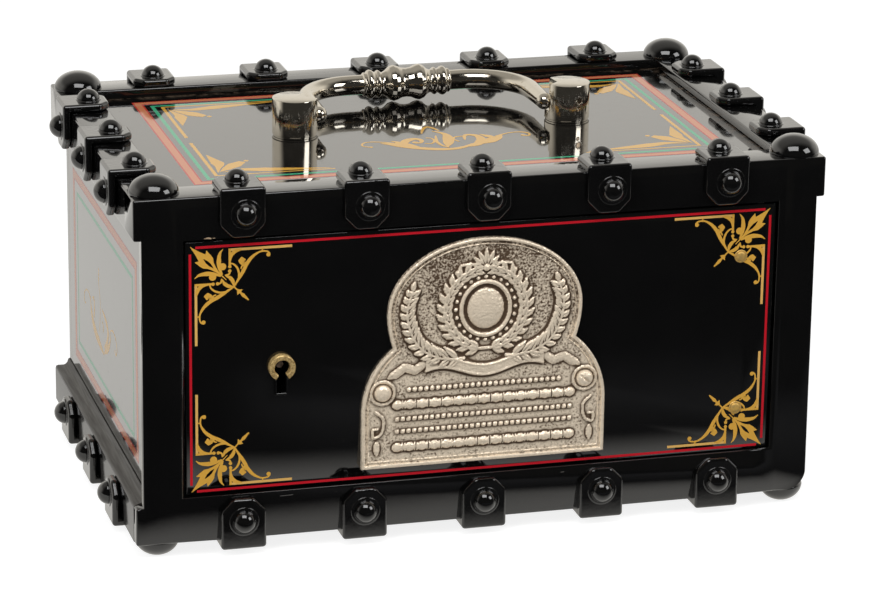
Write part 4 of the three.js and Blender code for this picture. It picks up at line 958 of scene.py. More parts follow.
class Brush:
    """Lays strokes on one face. Points are millimetres from a corner, which may be turned over"""

    def __init__(self, plane):
        self.shape = bmesh.new()
        self.plane = plane
        self.strokes = 0
        self.film_base = PAINT_FILM
        self.move((0, 0))

    def move(self, corner, across=(1, 0), up=(0, 1)):
        self.corner = np.array(corner, float)
        self.axes = np.array((across, up), float)

    def film(self, left, right, closed=False):
        """A film between two lines of points"""
        top = self.film_base + PAINT_STEP * self.strokes
        self.strokes += 1
        rows = []
        for height in (-PAINT_SUNK, top):
            for line in (left, right):
                placed = np.asarray(line) @ self.axes + self.corner
                rows.append([self.shape.verts.new(self.plane @ Vector((u, v, height))) for u, v in placed])
        low_left, low_right, top_left, top_right = rows
        count = len(low_left)
        around = ((top_left, top_right), (top_right, low_right), (low_right, low_left), (low_left, top_left))
        for i in range(count if closed else count - 1):
            j = (i + 1) % count
            for first, second in around:
                self.shape.faces.new((first[i], second[i], second[j], first[j]))
        if not closed:
            for i in (0, -1):
                self.shape.faces.new((low_left[i], low_right[i], top_right[i], top_left[i]))

    def stroke(self, points, *widths, straight=False):
        """A stroke along a curve, whose half width runs through the given ones at even steps"""
        path = np.array(points, float) if straight else smooth_path(points)
        along = np.gradient(path, axis=0)
        across = np.column_stack((-along[:, 1], along[:, 0])) / np.linalg.norm(along, axis=1)[:, None]
        steps = np.append(0, np.cumsum(np.linalg.norm(np.diff(path, axis=0), axis=1)))
        half = np.interp(steps / steps[-1], np.linspace(0, 1, len(widths)), widths)[:, None]
        self.film(path + across * half, path - across * half)

    def dot(self, u, v, radius):
        turn = np.linspace(-1.52, 1.52, DOT_STEPS)
        half, rise = radius * np.cos(turn), radius * np.sin(turn)
        self.film(np.column_stack((u - half, v + rise)), np.column_stack((u + half, v + rise)))

    def rectangle(self, left, right, bottom, top, width):
        """A line of some width just inside a rectangle"""
        outer = ((left, bottom), (right, bottom), (right, top), (left, top))
        inner = (
            (left + width, bottom + width), (right - width, bottom + width),
            (right - width, top - width), (left + width, top - width),
        )
        self.film(outer, inner, closed=True)

    def finished(self, name, material, body):
        bmesh.ops.recalc_face_normals(self.shape, faces=self.shape.faces)
        piece = new_piece(name, self.shape, material, smooth=False)
        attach(piece, body)
        return piece


DOOR_PLANE = face_plane((0, -DOOR_FRONT, 0), (1, 0, 0), (0, 0, 1))
ROOF_PLANE = face_plane((0, 0, ROOF_TOP), (1, 0, 0), (0, 1, 0))
LEFT_PLANE = face_plane((-SIDE_FACE, 0, 0), (0, -1, 0), (0, 0, 1))
RIGHT_PLANE = face_plane((SIDE_FACE, 0, 0), (0, 1, 0), (0, 0, 1))
red_paint = paint_colour("red_paint", RED)
salmon_red_paint = paint_colour("salmon_red_paint", SALMON_RED)
salmon_paint = paint_colour("salmon_paint", SALMON)
green_paint = paint_colour("green_paint", GREEN)
gold_paint = paint_colour("gold_paint", GOLD)
pale_gold_paint = paint_colour("pale_gold_paint", PALE_GOLD)


# Worn edge. The enamel is scratched through to grey iron at a few places on the sill of the door
# opening, and the same grey marks paint the highlight along the sill's edge; a tan chip shows near
# the opening's top left corner.
SILL_GREY_AND_HIGHLIGHT = (0.10, 0.095, 0.09, 1)
CHIP_TAN = (0.40, 0.29, 0.19, 1)
SILL_SCRATCHES_AND_HIGHLIGHTS = ((-120.6, -119.2), (-105.0, -98.3), (-76.2, -74.8), (41.0, 44.5))
SILL_MARK_HEIGHT = 20.5


def broken_colour(name, bare, share):
    """Enamel rubbed through to another colour in patches; the grey on the sill is also painted highlight"""
    material = enamel(name, 2.0, 0.05, 0.3)
    tree = material.node_tree
    paint = tree.nodes["Principled BSDF"]
    rubbed = fade(tree, cloud(tree, 2.6, 4), 0.62 - share, 0.66 - share)
    tree.links.new(blend(tree, rubbed, ENAMEL_BLACK, bare), paint.inputs["Base Color"])
    return material


def worn_and_highlit_edge():
    brush = Brush(face_plane((0, -HALF_DEPTH, 0), (1, 0, 0), (0, 0, 1)))
    # The grey sill marks are worn iron and painted highlight along the sill's edge
    for start, end in SILL_SCRATCHES_AND_HIGHLIGHTS:
        brush.stroke([(start, SILL_MARK_HEIGHT), (end, SILL_MARK_HEIGHT + 0.2)], 0.15, 0.4, 0.15, straight=True)
    brush.finished("worn_sill", broken_colour("worn_sill", SILL_GREY_AND_HIGHLIGHT, 0.16), "case")
    chip = Brush(face_plane((0, -HALF_DEPTH, 0), (1, 0, 0), (0, 0, 1)))
    chip.stroke([(-142.6, 156.7), (-140.8, 157.0), (-138.9, 156.7), (-137.0, 156.9)], 0.1, 0.45, 0.3, 0.1)
    chip.finished("worn_chip", broken_colour("worn_chip", CHIP_TAN, 0.2), "case")


worn_and_highlit_edge()


# Door lining. A red line runs along the door's edges and stops short of each corner, where a gold
# leaf points into the gap, with a pair of scrolls and gold bars along the line.
DOOR_LINE_X = 149.3
DOOR_LINE_BOTTOM = 25.9
DOOR_LINE_TOP = 151.9
DOOR_LINE_HALF = 0.64
DOOR_TIP_X = 149.2
DOOR_TIP_BOTTOM = 25.7
DOOR_TIP_TOP = 152.5
LINE_GAP_ACROSS = 2.7
LINE_GAP_UP = 3.2
SLIT_BASE = 0.13


def door_line():
    brush = Brush(DOOR_PLANE)
    for z in (DOOR_LINE_BOTTOM, DOOR_LINE_TOP):
        reach = DOOR_LINE_X - LINE_GAP_ACROSS
        brush.stroke([(-reach, z), (reach, z)], DOOR_LINE_HALF, DOOR_LINE_HALF, straight=True)
    for x in (-DOOR_LINE_X, DOOR_LINE_X):
        ends = [(x, DOOR_LINE_BOTTOM + LINE_GAP_UP), (x, DOOR_LINE_TOP - LINE_GAP_UP)]
        brush.stroke(ends, DOOR_LINE_HALF, DOOR_LINE_HALF, straight=True)
    brush.finished("door_line", red_paint, "door")


def scroll_half(brush):
    """What lies along one edge of the door, from the corner"""
    brush.stroke([(8.1, 2.4), (8.6, 4.4), (9.4, 6.6), (10.4, 9.4)], 0.1, 1.3, 1.9, 1.4)
    brush.stroke(
        [(16.3, 2.1), (14.7, 4.5), (14.2, 8.4), (14.7, 12.2), (15.9, 15.2)],
        0.12, 0.8, 1.15, 0.9, 0.3,
    )
    brush.dot(16.1, 11.1, 1.8)
    brush.stroke([(19.65, 2.1), (19.65, 11.0)], 0.6, 0.55, straight=True)
    brush.dot(19.65, 11.3, 0.85)
    brush.stroke(
        [(25.5, 3.0), (22.8, 3.5), (21.0, 4.8), (20.1, 6.6), (19.8, 9.0)],
        0.2, 0.85, 1.0, 0.7, 0.3,
    )
    brush.stroke(
        [(21.8, 21.6), (23.4, 18.9), (25.2, 16.0), (26.8, 13.1), (28.4, 10.0), (31.0, 6.9), (34.2, 4.9),
         (36.6, 4.5), (38.6, 4.9), (39.6, 6.0)],
        0.35, 0.55, 0.8, 0.95, 0.9, 0.9, 0.7, 0.45, 0.4, 0.4,
    )
    brush.dot(38.9, 6.4, 1.05)
    brush.stroke([(35.9, 2.9), (35.9, 4.7)], 0.3, 0.35, straight=True)
    brush.stroke(
        [(23.9, 18.3), (24.2, 15.0), (23.3, 12.1), (21.6, 10.2), (19.9, 9.6)],
        0.3, 0.5, 0.55, 0.45, 0.35,
    )
    brush.stroke([(27.6, 9.6), (26.6, 9.9), (25.9, 9.0), (25.6, 6.7)], 0.3, 1.5, 1.9, 0.1)
    brush.stroke([(25.2, 12.8), (25.8, 11.4), (27.2, 11.0)], 0.3, 0.4, 0.5)
    brush.stroke([(21.7, 21.7), (21.1, 18.8), (19.6, 16.9), (17.6, 16.2)], 0.2, 0.9, 0.95, 0.35)
    brush.stroke([(19.6, 13.6), (19.5, 14.7), (18.7, 15.4), (17.2, 15.6)], 0.45, 0.45, 0.5, 0.35)
    brush.dot(19.6, 13.5, 0.85)
    brush.stroke([(24.0, 24.0), (26.0, 23.5)], 0.9, 0.1, straight=True)


def diagonal(*steps):
    return [(step, step) for step in steps]


def scroll_middle(brush):
    """What lies on the diagonal: the leaf that points into the corner, and the bud at the far end"""
    leaf = diagonal(0, 1.8, 3.6, 5.2, 7.4, 9.6, 11.4, 12.9, 15.4)
    brush.stroke(leaf, 0.1, 0.65, 1.35, 2.3, 2.9, 2.4, 1.3, 0.6, 0.35)
    brush.stroke(diagonal(15.0, 18.0), 0.35, 0.15, straight=True)
    brush.stroke(diagonal(21.6, 23.9), 0.35, 0.35, straight=True)
    brush.stroke(diagonal(23.6, 24.7, 25.2), 0.35, 1.5, 0.2, straight=True)
    brush.stroke(diagonal(24.9, 26.1, 27.4, 29.0), 0.35, 0.9, 0.6, 0.3)


def scroll_slits(brush):
    """The black slit in the leaf and the ones beside its stem"""
    brush.stroke(diagonal(6.6, 7.9, 9.4, 11.4), 0.1, 0.7, 0.7, 0.08)
    for across, up in (((16.8, 16.0), (18.9, 17.6)), ((16.0, 16.8), (17.6, 18.9))):
        brush.stroke([across, up], 0.2, 0.35, straight=True)


def scroll_bar(brush):
    brush.stroke([(19.1, 2.75), (50.8, 2.75)], 0.65, 0.65, straight=True)


def draw_corners(brush, middle, half=None):
    """Draws at each corner of the door: what lies along both of its edges, then what lies between"""
    for hand in (1, -1):
        for tip, rise in ((DOOR_TIP_BOTTOM, 1), (DOOR_TIP_TOP, -1)):
            brush.strokes = 0
            corner = (-hand * DOOR_TIP_X, tip)
            if half:
                brush.move(corner, (hand, 0), (0, rise))
                half(brush)
                brush.move(corner, (0, rise), (hand, 0))
                half(brush)
            brush.move(corner, (hand, 0), (0, rise))
            if middle:
                middle(brush)


def door_scrolls():
    scrolls = Brush(DOOR_PLANE)
    draw_corners(scrolls, scroll_middle, scroll_half)
    scrolls.finished("door_scrolls", gold_paint, "door")
    bars = Brush(DOOR_PLANE)
    draw_corners(bars, None, scroll_bar)
    bars.finished("door_bars", pale_gold_paint, "door")
    slits = Brush(DOOR_PLANE)
    slits.film_base = SLIT_BASE
    draw_corners(slits, scroll_slits)
    slits.finished("door_scroll_slits", smooth_enamel, "door")


door_line()
door_scrolls()


# Roof lining. Inside the salmon band and the green line, gold lines meet in a fan of leaves at
# each corner, and a scroll of acanthus lies in the middle in front of the handle.
BAND_LEFT, BAND_RIGHT = -139.4, 142.5
BAND_FRONT, BAND_REAR = -76.3, 83.6
BAND_PAINT_WIDTH = 5.3
BAND_PAINT_EDGE = 0.9
GREEN_LEFT, GREEN_RIGHT = -131.2, 133.6
GREEN_FRONT, GREEN_REAR = -68.9, 75.2
GREEN_WIDTH = 2.0


def painted_bands(name, plane, band, green):
    edges = Brush(plane)
    edges.rectangle(*band, BAND_PAINT_WIDTH)
    edges.finished(name + "_band_edges", salmon_red_paint, "case")
    middle = Brush(plane)
    middle.film_base += 2 * PAINT_STEP
    inset = BAND_PAINT_EDGE
    inner = (band[0] + inset, band[1] - inset, band[2] + inset, band[3] - inset)
    middle.rectangle(*inner, BAND_PAINT_WIDTH - 2 * inset)
    middle.finished(name + "_band", salmon_paint, "case")
    line = Brush(plane)
    line.rectangle(*green, GREEN_WIDTH)
    line.finished(name + "_green_line", green_paint, "case")


def roof_fan(brush):
    """One corner of the roof: a gold line each way and three leaves between them"""
    brush.stroke([(0.7, -0.6), (0.7, 62.0)], 0.9, 0.9, straight=True)
    brush.stroke([(-0.2, 0), (61.5, 0)], 0.6, 0.6, straight=True)
    brush.stroke([(2.9, 5.6), (4.3, 12.0), (6.1, 19.4), (5.4, 27.0), (3.7, 38.4)], 0.2, 1.4, 3.4, 1.8, 0.1)
    brush.stroke([(3.9, 6.4), (9.2, 12.2), (14.6, 18.0), (18.8, 22.2)], 0.1, 2.4, 3.8, 1.9)
    brush.dot(21.0, 23.4, 1.3)
    brush.stroke(
        [(5.2, 5.4), (11.0, 7.4), (17.0, 8.0), (22.6, 6.8), (34.0, 4.9), (60.0, 1.8)],
        0.1, 2.0, 3.2, 2.2, 1.0, 0.1,
    )


def roof_scroll(brush):
    """The acanthus in the middle"""
    brush.stroke(
        [(-38.0, -29.0), (-41.1, -25.4), (-39.2, -20.6), (-35.0, -19.2), (-30.0, -20.6), (-24.0, -24.6)],
        0.5, 0.5, 0.6, 0.5, 0.6, 1.0,
    )
    brush.dot(-37.4, -28.6, 1.1)
    brush.stroke([(-31.0, -23.0), (-26.5, -25.0), (-21.5, -28.4), (-15.0, -33.0)], 0.2, 2.6, 4.0, 0.9)
    brush.stroke([(-24.6, -19.8), (-21.6, -23.0), (-18.6, -27.6), (-13.5, -33.4)], 0.2, 1.9, 2.1, 0.6)
    brush.stroke(
        [(-19.5, -28.0), (-17.8, -22.6), (-14.4, -19.2), (-11.0, -18.6), (-9.0, -21.8), (-10.4, -26.0),
         (-13.4, -26.0)],
        1.0, 2.2, 2.3, 1.9, 1.3, 1.0, 0.8,
    )
    brush.dot(-13.0, -25.0, 1.6)
    brush.stroke(
        [(-8.6, -27.9), (-5.6, -28.8), (-2.8, -25.0), (-2.8, -19.6), (-5.4, -17.6)],
        0.5, 0.6, 0.7, 0.5, 0.5,
    )
    brush.stroke(
        [(-25.0, -29.4), (-13.5, -36.0), (-5.5, -39.6), (2.0, -40.8), (9.0, -38.8), (15.5, -33.6)],
        0.4, 2.1, 2.1, 1.8, 1.5, 0.8,
    )
    brush.stroke(
        [(10.6, -38.0), (17.2, -34.8), (21.4, -27.8), (21.6, -20.2), (18.2, -16.6), (15.2, -18.2),
         (13.2, -25.6)],
        0.8, 2.4, 2.8, 2.2, 1.5, 1.0, 0.5,
    )
    brush.stroke([(14.6, -18.4), (9.8, -19.4), (7.9, -23.6), (9.6, -28.0)], 0.5, 0.7, 0.6, 0.5)
    brush.stroke([(19.5, -34.2), (25.8, -29.4), (31.0, -25.0), (34.6, -20.4)], 0.8, 3.8, 2.9, 0.2)
    brush.stroke([(23.6, -17.0), (27.0, -21.6), (29.4, -26.4)], 0.2, 2.1, 1.0)
    brush.stroke(
        [(31.0, -22.6), (38.6, -17.8), (45.0, -17.2), (48.8, -20.4), (47.8, -24.8), (44.6, -23.8)],
        0.9, 0.6, 0.5, 0.6, 0.6, 0.6,
    )
    brush.dot(44.9, -23.4, 1.1)
    brush.stroke(
        [(1.2, -6.0), (4.6, -9.8), (6.2, -14.6), (5.0, -24.0), (0.8, -37.0)],
        0.3, 1.5, 3.1, 2.8, 0.4,
    )
    brush.stroke([(-5.4, -9.2), (-2.6, -1.4), (0.2, 2.4), (2.8, 0.4), (4.7, -5.8)], 0.4, 0.8, 0.9, 0.8, 0.5)
    brush.stroke([(0.6, -14.8), (-1.7, -25.6), (-1.0, -33.4), (1.4, -38.0)], 0.4, 0.9, 0.9, 0.4)


def roof_gold():
    brush = Brush(ROOF_PLANE)
    for corner, across, up in (
        ((-126.0, -62.6), (1, 0), (0, 1)),
        ((128.6, -62.6), (-1, 0), (0, 1)),
        ((-126.0, 71.2), (1, 0), (0, -1)),
        ((128.6, 71.2), (-1, 0), (0, -1)),
    ):
        brush.move(corner, across, up)
        roof_fan(brush)
    brush.move((0, 0))
    roof_scroll(brush)
    brush.finished("roof_gold", gold_paint, "case")


roof_band = (BAND_LEFT, BAND_RIGHT, BAND_FRONT, BAND_REAR)
painted_bands("roof", ROOF_PLANE, roof_band, (GREEN_LEFT, GREEN_RIGHT, GREEN_FRONT, GREEN_REAR))
roof_gold()


# Side lining. Each side carries the same salmon band and green line, with a small gold scroll in
# the middle that hangs from a beaded stem.
SIDE_BAND = (-88.5, 86.5, 33.0, 138.5)
SIDE_GREEN = (-78.0, 75.5, 43.0, 128.0)


def side_scroll(brush):
    brush.stroke(
        [(-16.5, 104), (-18.0, 97), (-14.0, 88), (-14.5, 78), (-17.0, 69)],
        0.5, 0.4, 0.5, 0.5, 0.4,
    )
    for height in (103.0, 100.6, 98.2):
        brush.dot(-16.8, height, 0.9)
    brush.stroke(
        [(-41.8, 81), (-39.4, 73.5), (-35.0, 69.0), (-28.0, 65.5), (-18.5, 63.2), (-5.0, 60.5)],
        0.2, 2.2, 2.8, 2.6, 2.0, 0.4,
    )
    brush.stroke([(-31.4, 84), (-30.6, 78), (-32.0, 72.5)], 0.3, 1.1, 1.1)
    brush.stroke([(-36.0, 82), (-33.0, 82.6), (-30.5, 81)], 0.3, 1.0, 0.4)
    brush.stroke(
        [(-9.0, 84), (-2.5, 82.4), (3.5, 80.2), (7.2, 76.2), (4.6, 70.8), (-3.0, 65.0)],
        0.4, 1.2, 1.6, 1.7, 1.5, 0.8,
    )
    brush.stroke([(13.0, 78.8), (12.6, 73.6), (8.0, 68.6), (-4.0, 61.6)], 0.3, 1.5, 2.1, 0.6)
    brush.stroke([(-8.5, 77.4), (-5.6, 75.4), (-6.6, 72.4)], 0.5, 0.6, 0.6)
    brush.stroke(
        [(13.4, 79.4), (21.0, 81.6), (28.0, 79.6), (31.6, 75.0), (28.4, 71.0), (25.6, 73.0)],
        0.4, 0.5, 0.4, 0.4, 0.5, 0.6,
    )
    brush.stroke(
        [(-41.5, 79.0), (-46.6, 81.4), (-53.6, 81.0), (-59.4, 77.0), (-58.6, 72.6), (-55.6, 73.0)],
        0.5, 0.4, 0.4, 0.4, 0.5, 0.5,
    )


for name, plane, hand in (("left", LEFT_PLANE, 1), ("right", RIGHT_PLANE, -1)):
    low, high = sorted((hand * SIDE_BAND[0], hand * SIDE_BAND[1]))
    green_low, green_high = sorted((hand * SIDE_GREEN[0], hand * SIDE_GREEN[1]))
    painted_bands(name, plane, (low, high, *SIDE_BAND[2:]), (green_low, green_high, *SIDE_GREEN[2:]))
    side_gold = Brush(plane)
    side_gold.move((0, 0), (hand, 0), (0, 1))
    side_scroll(side_gold)
    side_gold.finished(name + "_gold", gold_paint, "case")


# Handle. Two turned nickel posts stand on the roof, each bitten out towards the bail, which lies
# back on the roof and swings up between them. Its bar carries a turned grip in the middle.
HANDLE_X = 3.7
HANDLE_Y = 3.5
POST_SPACING = 73.3
POST_RADIUS = 11.8
POST_HEIGHT = 20.0
POST_RIM = 0.5
BITE_FLOOR = 5.6
BITE_INNER = 5.5
BITE_APEX = 0.5
BITE_PAST = 2.0
BITE_FRONT_SLOPE = 1.035
BITE_REAR_SLOPE = 0.15
PIVOT_HEIGHT = 10.0
POST_SIDES = 128
BAIL_HALF = 60.7
BAIL_REACH = 53.5
BAIL_BEND = 30.0
PIVOT_BALL = 4.0
BALL_SWELL = 1.08
PIN_RADIUS = 3.4
PIN_SUNK = 1.2
PIN_SIDES = 32
ARM_THIN = 4.2
BAR_RADIUS = 5.2
TUBE_SIDES = 48
GRIP = (
    (0, 7.7), (2.6, 8.0), (5.0, 9.1), (7.0, 9.6), (9.2, 8.8), (11.2, 7.0), (12.8, 6.1), (13.9, 6.2),
    (14.6, 7.0), (15.4, 7.4), (16.1, 7.0), (16.8, 6.3), (17.8, 6.7), (19.0, 7.6), (20.2, 7.8), (21.3, 7.2),
    (22.1, 6.2), (22.5, 6.1), (22.9, 6.5), (23.4, 6.3), (24.0, 5.3),
)
NICKEL_WARM = (0.72, 0.665, 0.57, 1)
NICKEL_BROWN = (0.17, 0.105, 0.05, 1)
STAIN_PATCH = 4.0
SPECKLE_PATCH = 0.5
SPECKLE_MORE = 0.25
MATT_PATCH = 7.0
MATT_MORE = 0.10
NICKEL_WAVE = 2.2
NICKEL_WAVE_DEPTH = 0.01
PIT_SPACING = 3.1
PIT_RADIUS = 0.11
PIT_SHARE = 0.22
PIT_DEPTH = 0.12
POST_PITS = ((80.4, -7.8, 12.0, 1.7), (79.8, -8.0, 8.4, 0.8))
BLOW_HOLE_RAGGED = 1.2
BLOW_HOLE_STAIN = 0.8
BLOW_HOLE_DEPTH = 0.9


def nickel(name, roughness, stain_share):
    """Nickel plate, worn matt in patches and yellowed where it has thinned"""
    material, tree, plate = new_material(name)
    plate.inputs["Metallic"].default_value = 1.0
    stain = fade(tree, cloud(tree, STAIN_PATCH, 5), 0.62 - stain_share, 0.82 - stain_share)
    speckle = calculate(tree, "MULTIPLY", stain, fade(tree, cloud(tree, SPECKLE_PATCH, 2), 0.42, 0.6))
    feed(tree, plate.inputs["Base Color"], blend(tree, speckle, NICKEL_WARM, NICKEL_BROWN))
    matt = calculate(tree, "MULTIPLY", fade(tree, cloud(tree, MATT_PATCH, 3), 0.4, 0.7), MATT_MORE)
    worn = calculate(tree, "ADD", matt, calculate(tree, "MULTIPLY", speckle, SPECKLE_MORE))
    feed(tree, plate.inputs["Roughness"], calculate(tree, "ADD", worn, roughness))
    waves = bump(tree, cloud(tree, NICKEL_WAVE, 3), NICKEL_WAVE_DEPTH)
    pits = bump(tree, nibs(tree, PIT_SPACING, PIT_RADIUS, PIT_SHARE), -PIT_DEPTH, waves)
    feed(tree, plate.inputs["Normal"], pits)
    return material


def casting_pits(material, pits):
    """Blow holes left in the casting: dark, ragged hollows at a few (x, y, z, radius) places"""
    tree = material.node_tree
    plate = tree.nodes["Principled BSDF"]
    ragged = calculate(tree, "MULTIPLY", cloud(tree, 1.0, 2), BLOW_HOLE_RAGGED * MM)
    hollow = None
    for x, y, z, radius in pits:
        away = put(tree, "ShaderNodeVectorMath")
        away.operation = "DISTANCE"
        feed(tree, away.inputs[0], tree.nodes.new("ShaderNodeTexCoord").outputs["Object"])
        feed(tree, away.inputs[1], case_point(x, y, ROOF_TOP + z))
        reach = calculate(tree, "ADD", away.outputs["Value"], ragged)
        inside = fade(tree, reach, (radius + 0.9) * MM, (radius + 0.3) * MM)
        hollow = inside if hollow is None else calculate(tree, "MAXIMUM", hollow, inside)
    colour = plate.inputs["Base Color"].links[0].from_socket
    dark = calculate(tree, "MULTIPLY", hollow, BLOW_HOLE_STAIN)
    feed(tree, plate.inputs["Base Color"], blend(tree, dark, colour, NICKEL_BROWN))
    under = plate.inputs["Normal"].links[0].from_socket
    feed(tree, plate.inputs["Normal"], bump(tree, hollow, -BLOW_HOLE_DEPTH, under))


post_nickel = nickel("post_nickel", 0.07, 0.0)
casting_pits(post_nickel, POST_PITS)
bail_nickel = nickel("bail_nickel", 0.06, 0.02)


def swept_tube(shape, path, radii, sides, up):
    """A round bar along a path, closed at both ends"""
    points = [Vector(point) for point in path]
    turns = [2 * pi * step / sides for step in range(sides)]
    rings = []
    for i, (point, radius) in enumerate(zip(points, radii)):
        ahead = points[min(i + 1, len(points) - 1)] - points[max(i - 1, 0)]
        side = ahead.cross(up).normalized()
        corners = [(point + (side * cos(turn) + up * sin(turn)) * radius) * MM for turn in turns]
        rings.append([shape.verts.new(corner) for corner in corners])
    close_rows(shape, rings)


def bail_path():
    """The bail's middle line from the left pivot to the right one, as (x, y) pairs"""
    arm = BAIL_REACH - BAIL_BEND
    half = [(-BAIL_HALF, 0.5 * step * arm / 6) for step in range(12)]
    for step in range(25):
        turn = pi / 2 * step / 24
        half.append((-BAIL_HALF + BAIL_BEND * (1 - cos(turn)), arm + BAIL_BEND * sin(turn)))
    bar = BAIL_HALF - BAIL_BEND
    half += [(-x, BAIL_REACH) for x in np.arange(bar - 1, GRIP[-1][0] + 0.3, -1.5)]
    half += [(-x, BAIL_REACH) for x in np.arange(GRIP[-1][0], 0, -0.4)]
    return half + [(0.0, BAIL_REACH)] + [(-x, y) for x, y in reversed(half)]


def bail_radius(x, y):
    if y < BAIL_REACH:
        return float(np.interp(y, (0, BAIL_REACH - BAIL_BEND, BAIL_REACH), (ARM_THIN, 4.9, BAR_RADIUS)))
    if abs(x) > GRIP[-1][0]:
        return BAR_RADIUS
    across, radii = zip(*GRIP)
    return float(np.interp(abs(x), across, radii))


def bail():
    shape = bmesh.new()
    height = ROOF_TOP + UNDERSIDE + PIVOT_HEIGHT
    path = [(x + HANDLE_X, y + HANDLE_Y, height) for x, y in bail_path()]
    radii = [bail_radius(x, y) for x, y in bail_path()]
    swept_tube(shape, path, radii, TUBE_SIDES, Vector((0, 0, 1)))
    for hand in (-1, 1):
        end = Vector((HANDLE_X + hand * BAIL_HALF, HANDLE_Y, height))
        ball = bmesh.ops.create_uvsphere(
            shape, u_segments=40, v_segments=20, radius=PIVOT_BALL * BALL_SWELL * MM
        )
        bmesh.ops.translate(shape, verts=ball["verts"], vec=end * MM)
        pin_end = (HANDLE_X + hand * (POST_SPACING + PIN_SUNK), HANDLE_Y, height)
        swept_tube(shape, (end, pin_end), (PIN_RADIUS, PIN_RADIUS), PIN_SIDES, Vector((0, 0, 1)))
    bmesh.ops.recalc_face_normals(shape, faces=shape.faces)
    crease_edges(shape, 50)
    piece = new_piece("bail", shape, bail_nickel)
    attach(piece, "bail")
    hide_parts("handle_bail")


def solid_difference(body, cutter):
    """Takes one closed shape out of another"""
    cut = body.modifiers.new("cut", "BOOLEAN")
    cut.operation = "DIFFERENCE"
    cut.solver = "EXACT"
    cut.object = cutter
    ready = body.evaluated_get(bpy.context.evaluated_depsgraph_get())
    mesh = bpy.data.meshes.new_from_object(ready)
    body.modifiers.clear()
    body.data = mesh
    bpy.data.objects.remove(cutter)


def bite_shape(centre_x, inward):
    """The wedge that is bitten out of a post, open towards the middle and the back"""
    shape = bmesh.new()
    inner, apex = BITE_INNER, HANDLE_Y + BITE_APEX
    mouth, rear = POST_RADIUS + BITE_PAST, HANDLE_Y + POST_RADIUS + BITE_PAST
    outline = (
        (inner, apex), (mouth, apex - (mouth - inner) * BITE_FRONT_SLOPE), (mouth, rear),
        (inner + (rear - apex) * BITE_REAR_SLOPE, rear),
    )
    heights = (ROOF_TOP + UNDERSIDE + BITE_FLOOR, ROOF_TOP + UNDERSIDE + POST_HEIGHT + BITE_PAST)
    close_rows(shape, [
        [shape.verts.new(((centre_x + inward * u) * MM, y * MM, z * MM)) for u, y in outline] for z in heights
    ])
    bmesh.ops.recalc_face_normals(shape, faces=shape.faces)
    return new_piece("bite", shape, post_nickel)


def handle_post(name, node, centre_x, inward):
    """A turned post on a narrow foot, with an eased top rim and a bite out of one side"""
    rim, foot_radius = POST_RIM, POST_RADIUS - POST_RIM
    profile = (
        (0, 0.2), (foot_radius, 0.2), (foot_radius, 0.9), (POST_RADIUS, 1.3),
        (POST_RADIUS, POST_HEIGHT - rim), (POST_RADIUS - rim * 0.3, POST_HEIGHT - rim * 0.3),
        (POST_RADIUS - rim, POST_HEIGHT), (0, POST_HEIGHT),
    )
    shape = bmesh.new()
    turn_profile(shape, profile, POST_SIDES, Matrix.Translation(case_point(centre_x, HANDLE_Y, ROOF_TOP)))
    bmesh.ops.recalc_face_normals(shape, faces=shape.faces)
    post = new_piece(name, shape, post_nickel)
    solid_difference(post, bite_shape(centre_x, inward))
    shape = bmesh.new()
    shape.from_mesh(post.data)
    bmesh.ops.remove_doubles(shape, verts=shape.verts, dist=0.002 * MM)
    crease_edges(shape, 30)
    for face in shape.faces:
        face.smooth = True
    shape.to_mesh(post.data)
    shape.free()
    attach(post, "case")
    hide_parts(node)


handle_post("left_post", "left_handle_post", HANDLE_X - POST_SPACING, 1)
handle_post("right_post", "right_handle_post", HANDLE_X + POST_SPACING, -1)
bail()


# Door and keyhole. The door is a thick iron plate in smooth enamel. A brass horseshoe rings the
# keyhole, with the brown drill pin of the lock inside it and a painted rim round the key's slot.
# The pin's brown is lighter than its iron: painted light for the lit end it shows.
KEY_X = -103.9
KEY_Z = 88.0
RING_OUTER = 6.7
RING_INNER = 4.0
RING_HEIGHT = 3.7
RING_ROUNDING = 0.75
RING_GAP = radians(30)
RING_STEPS = 49
SLOT_HALF = 2.3
SLOT_BOTTOM = 74.2
SLOT_RIM = 1.0
SLOT_RIM_HEIGHT = 1.0
DOOR_EDGE_X = 145.0
BRASS_BRIGHT = (0.86, 0.62, 0.27, 1)
BRASS_DULL = (0.52, 0.34, 0.13, 1)
RUST_BROWN = (0.055, 0.030, 0.018, 1)
PIN_LIT_BROWN = (0.34, 0.26, 0.21, 1)
METAL_MATT_MORE = 0.22
METAL_GRAIN_DEPTH = 0.03


def metal(name, bright, dull, roughness, grain=1.5, metallic=1.0):
    """Old metal with dull patches"""
    material, tree, surface = new_material(name)
    surface.inputs["Metallic"].default_value = metallic
    patches = fade(tree, cloud(tree, grain, 4), 0.4, 0.65)
    feed(tree, surface.inputs["Base Color"], blend(tree, patches, bright, dull))
    matt = fade(tree, cloud(tree, grain * 1.7, 3), 0.3, 0.7, roughness, roughness + METAL_MATT_MORE)
    feed(tree, surface.inputs["Roughness"], matt)
    feed(tree, surface.inputs["Normal"], bump(tree, cloud(tree, grain * 0.5, 3), METAL_GRAIN_DEPTH))
    return material


brass = metal("keyhole_brass", BRASS_BRIGHT, BRASS_DULL, 0.22, 1.5, 0.55)
# The drill pin's lighter brown is painted light for its lit end, which sits in shade here
lit_brown_iron = metal("lit_brown_iron", PIN_LIT_BROWN, RUST_BROWN, 0.5, 3.0, 0.3)


def at_door_edge(edge):
    """True for the door's own outline, so that the keyhole stays crisp"""
    reach = DOOR_EDGE_X * MM
    return min(abs(vert.co.x) for vert in edge.verts) > reach or edge.calc_length() > reach


def door_piece():
    shape = merged_copy("door_panel")
    mark_edges(shape, at_door_edge)
    piece = new_piece("door", shape, smooth_enamel)
    round_edges(piece, 0.5, 2)
    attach(piece, "door")
    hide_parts("door_panel")


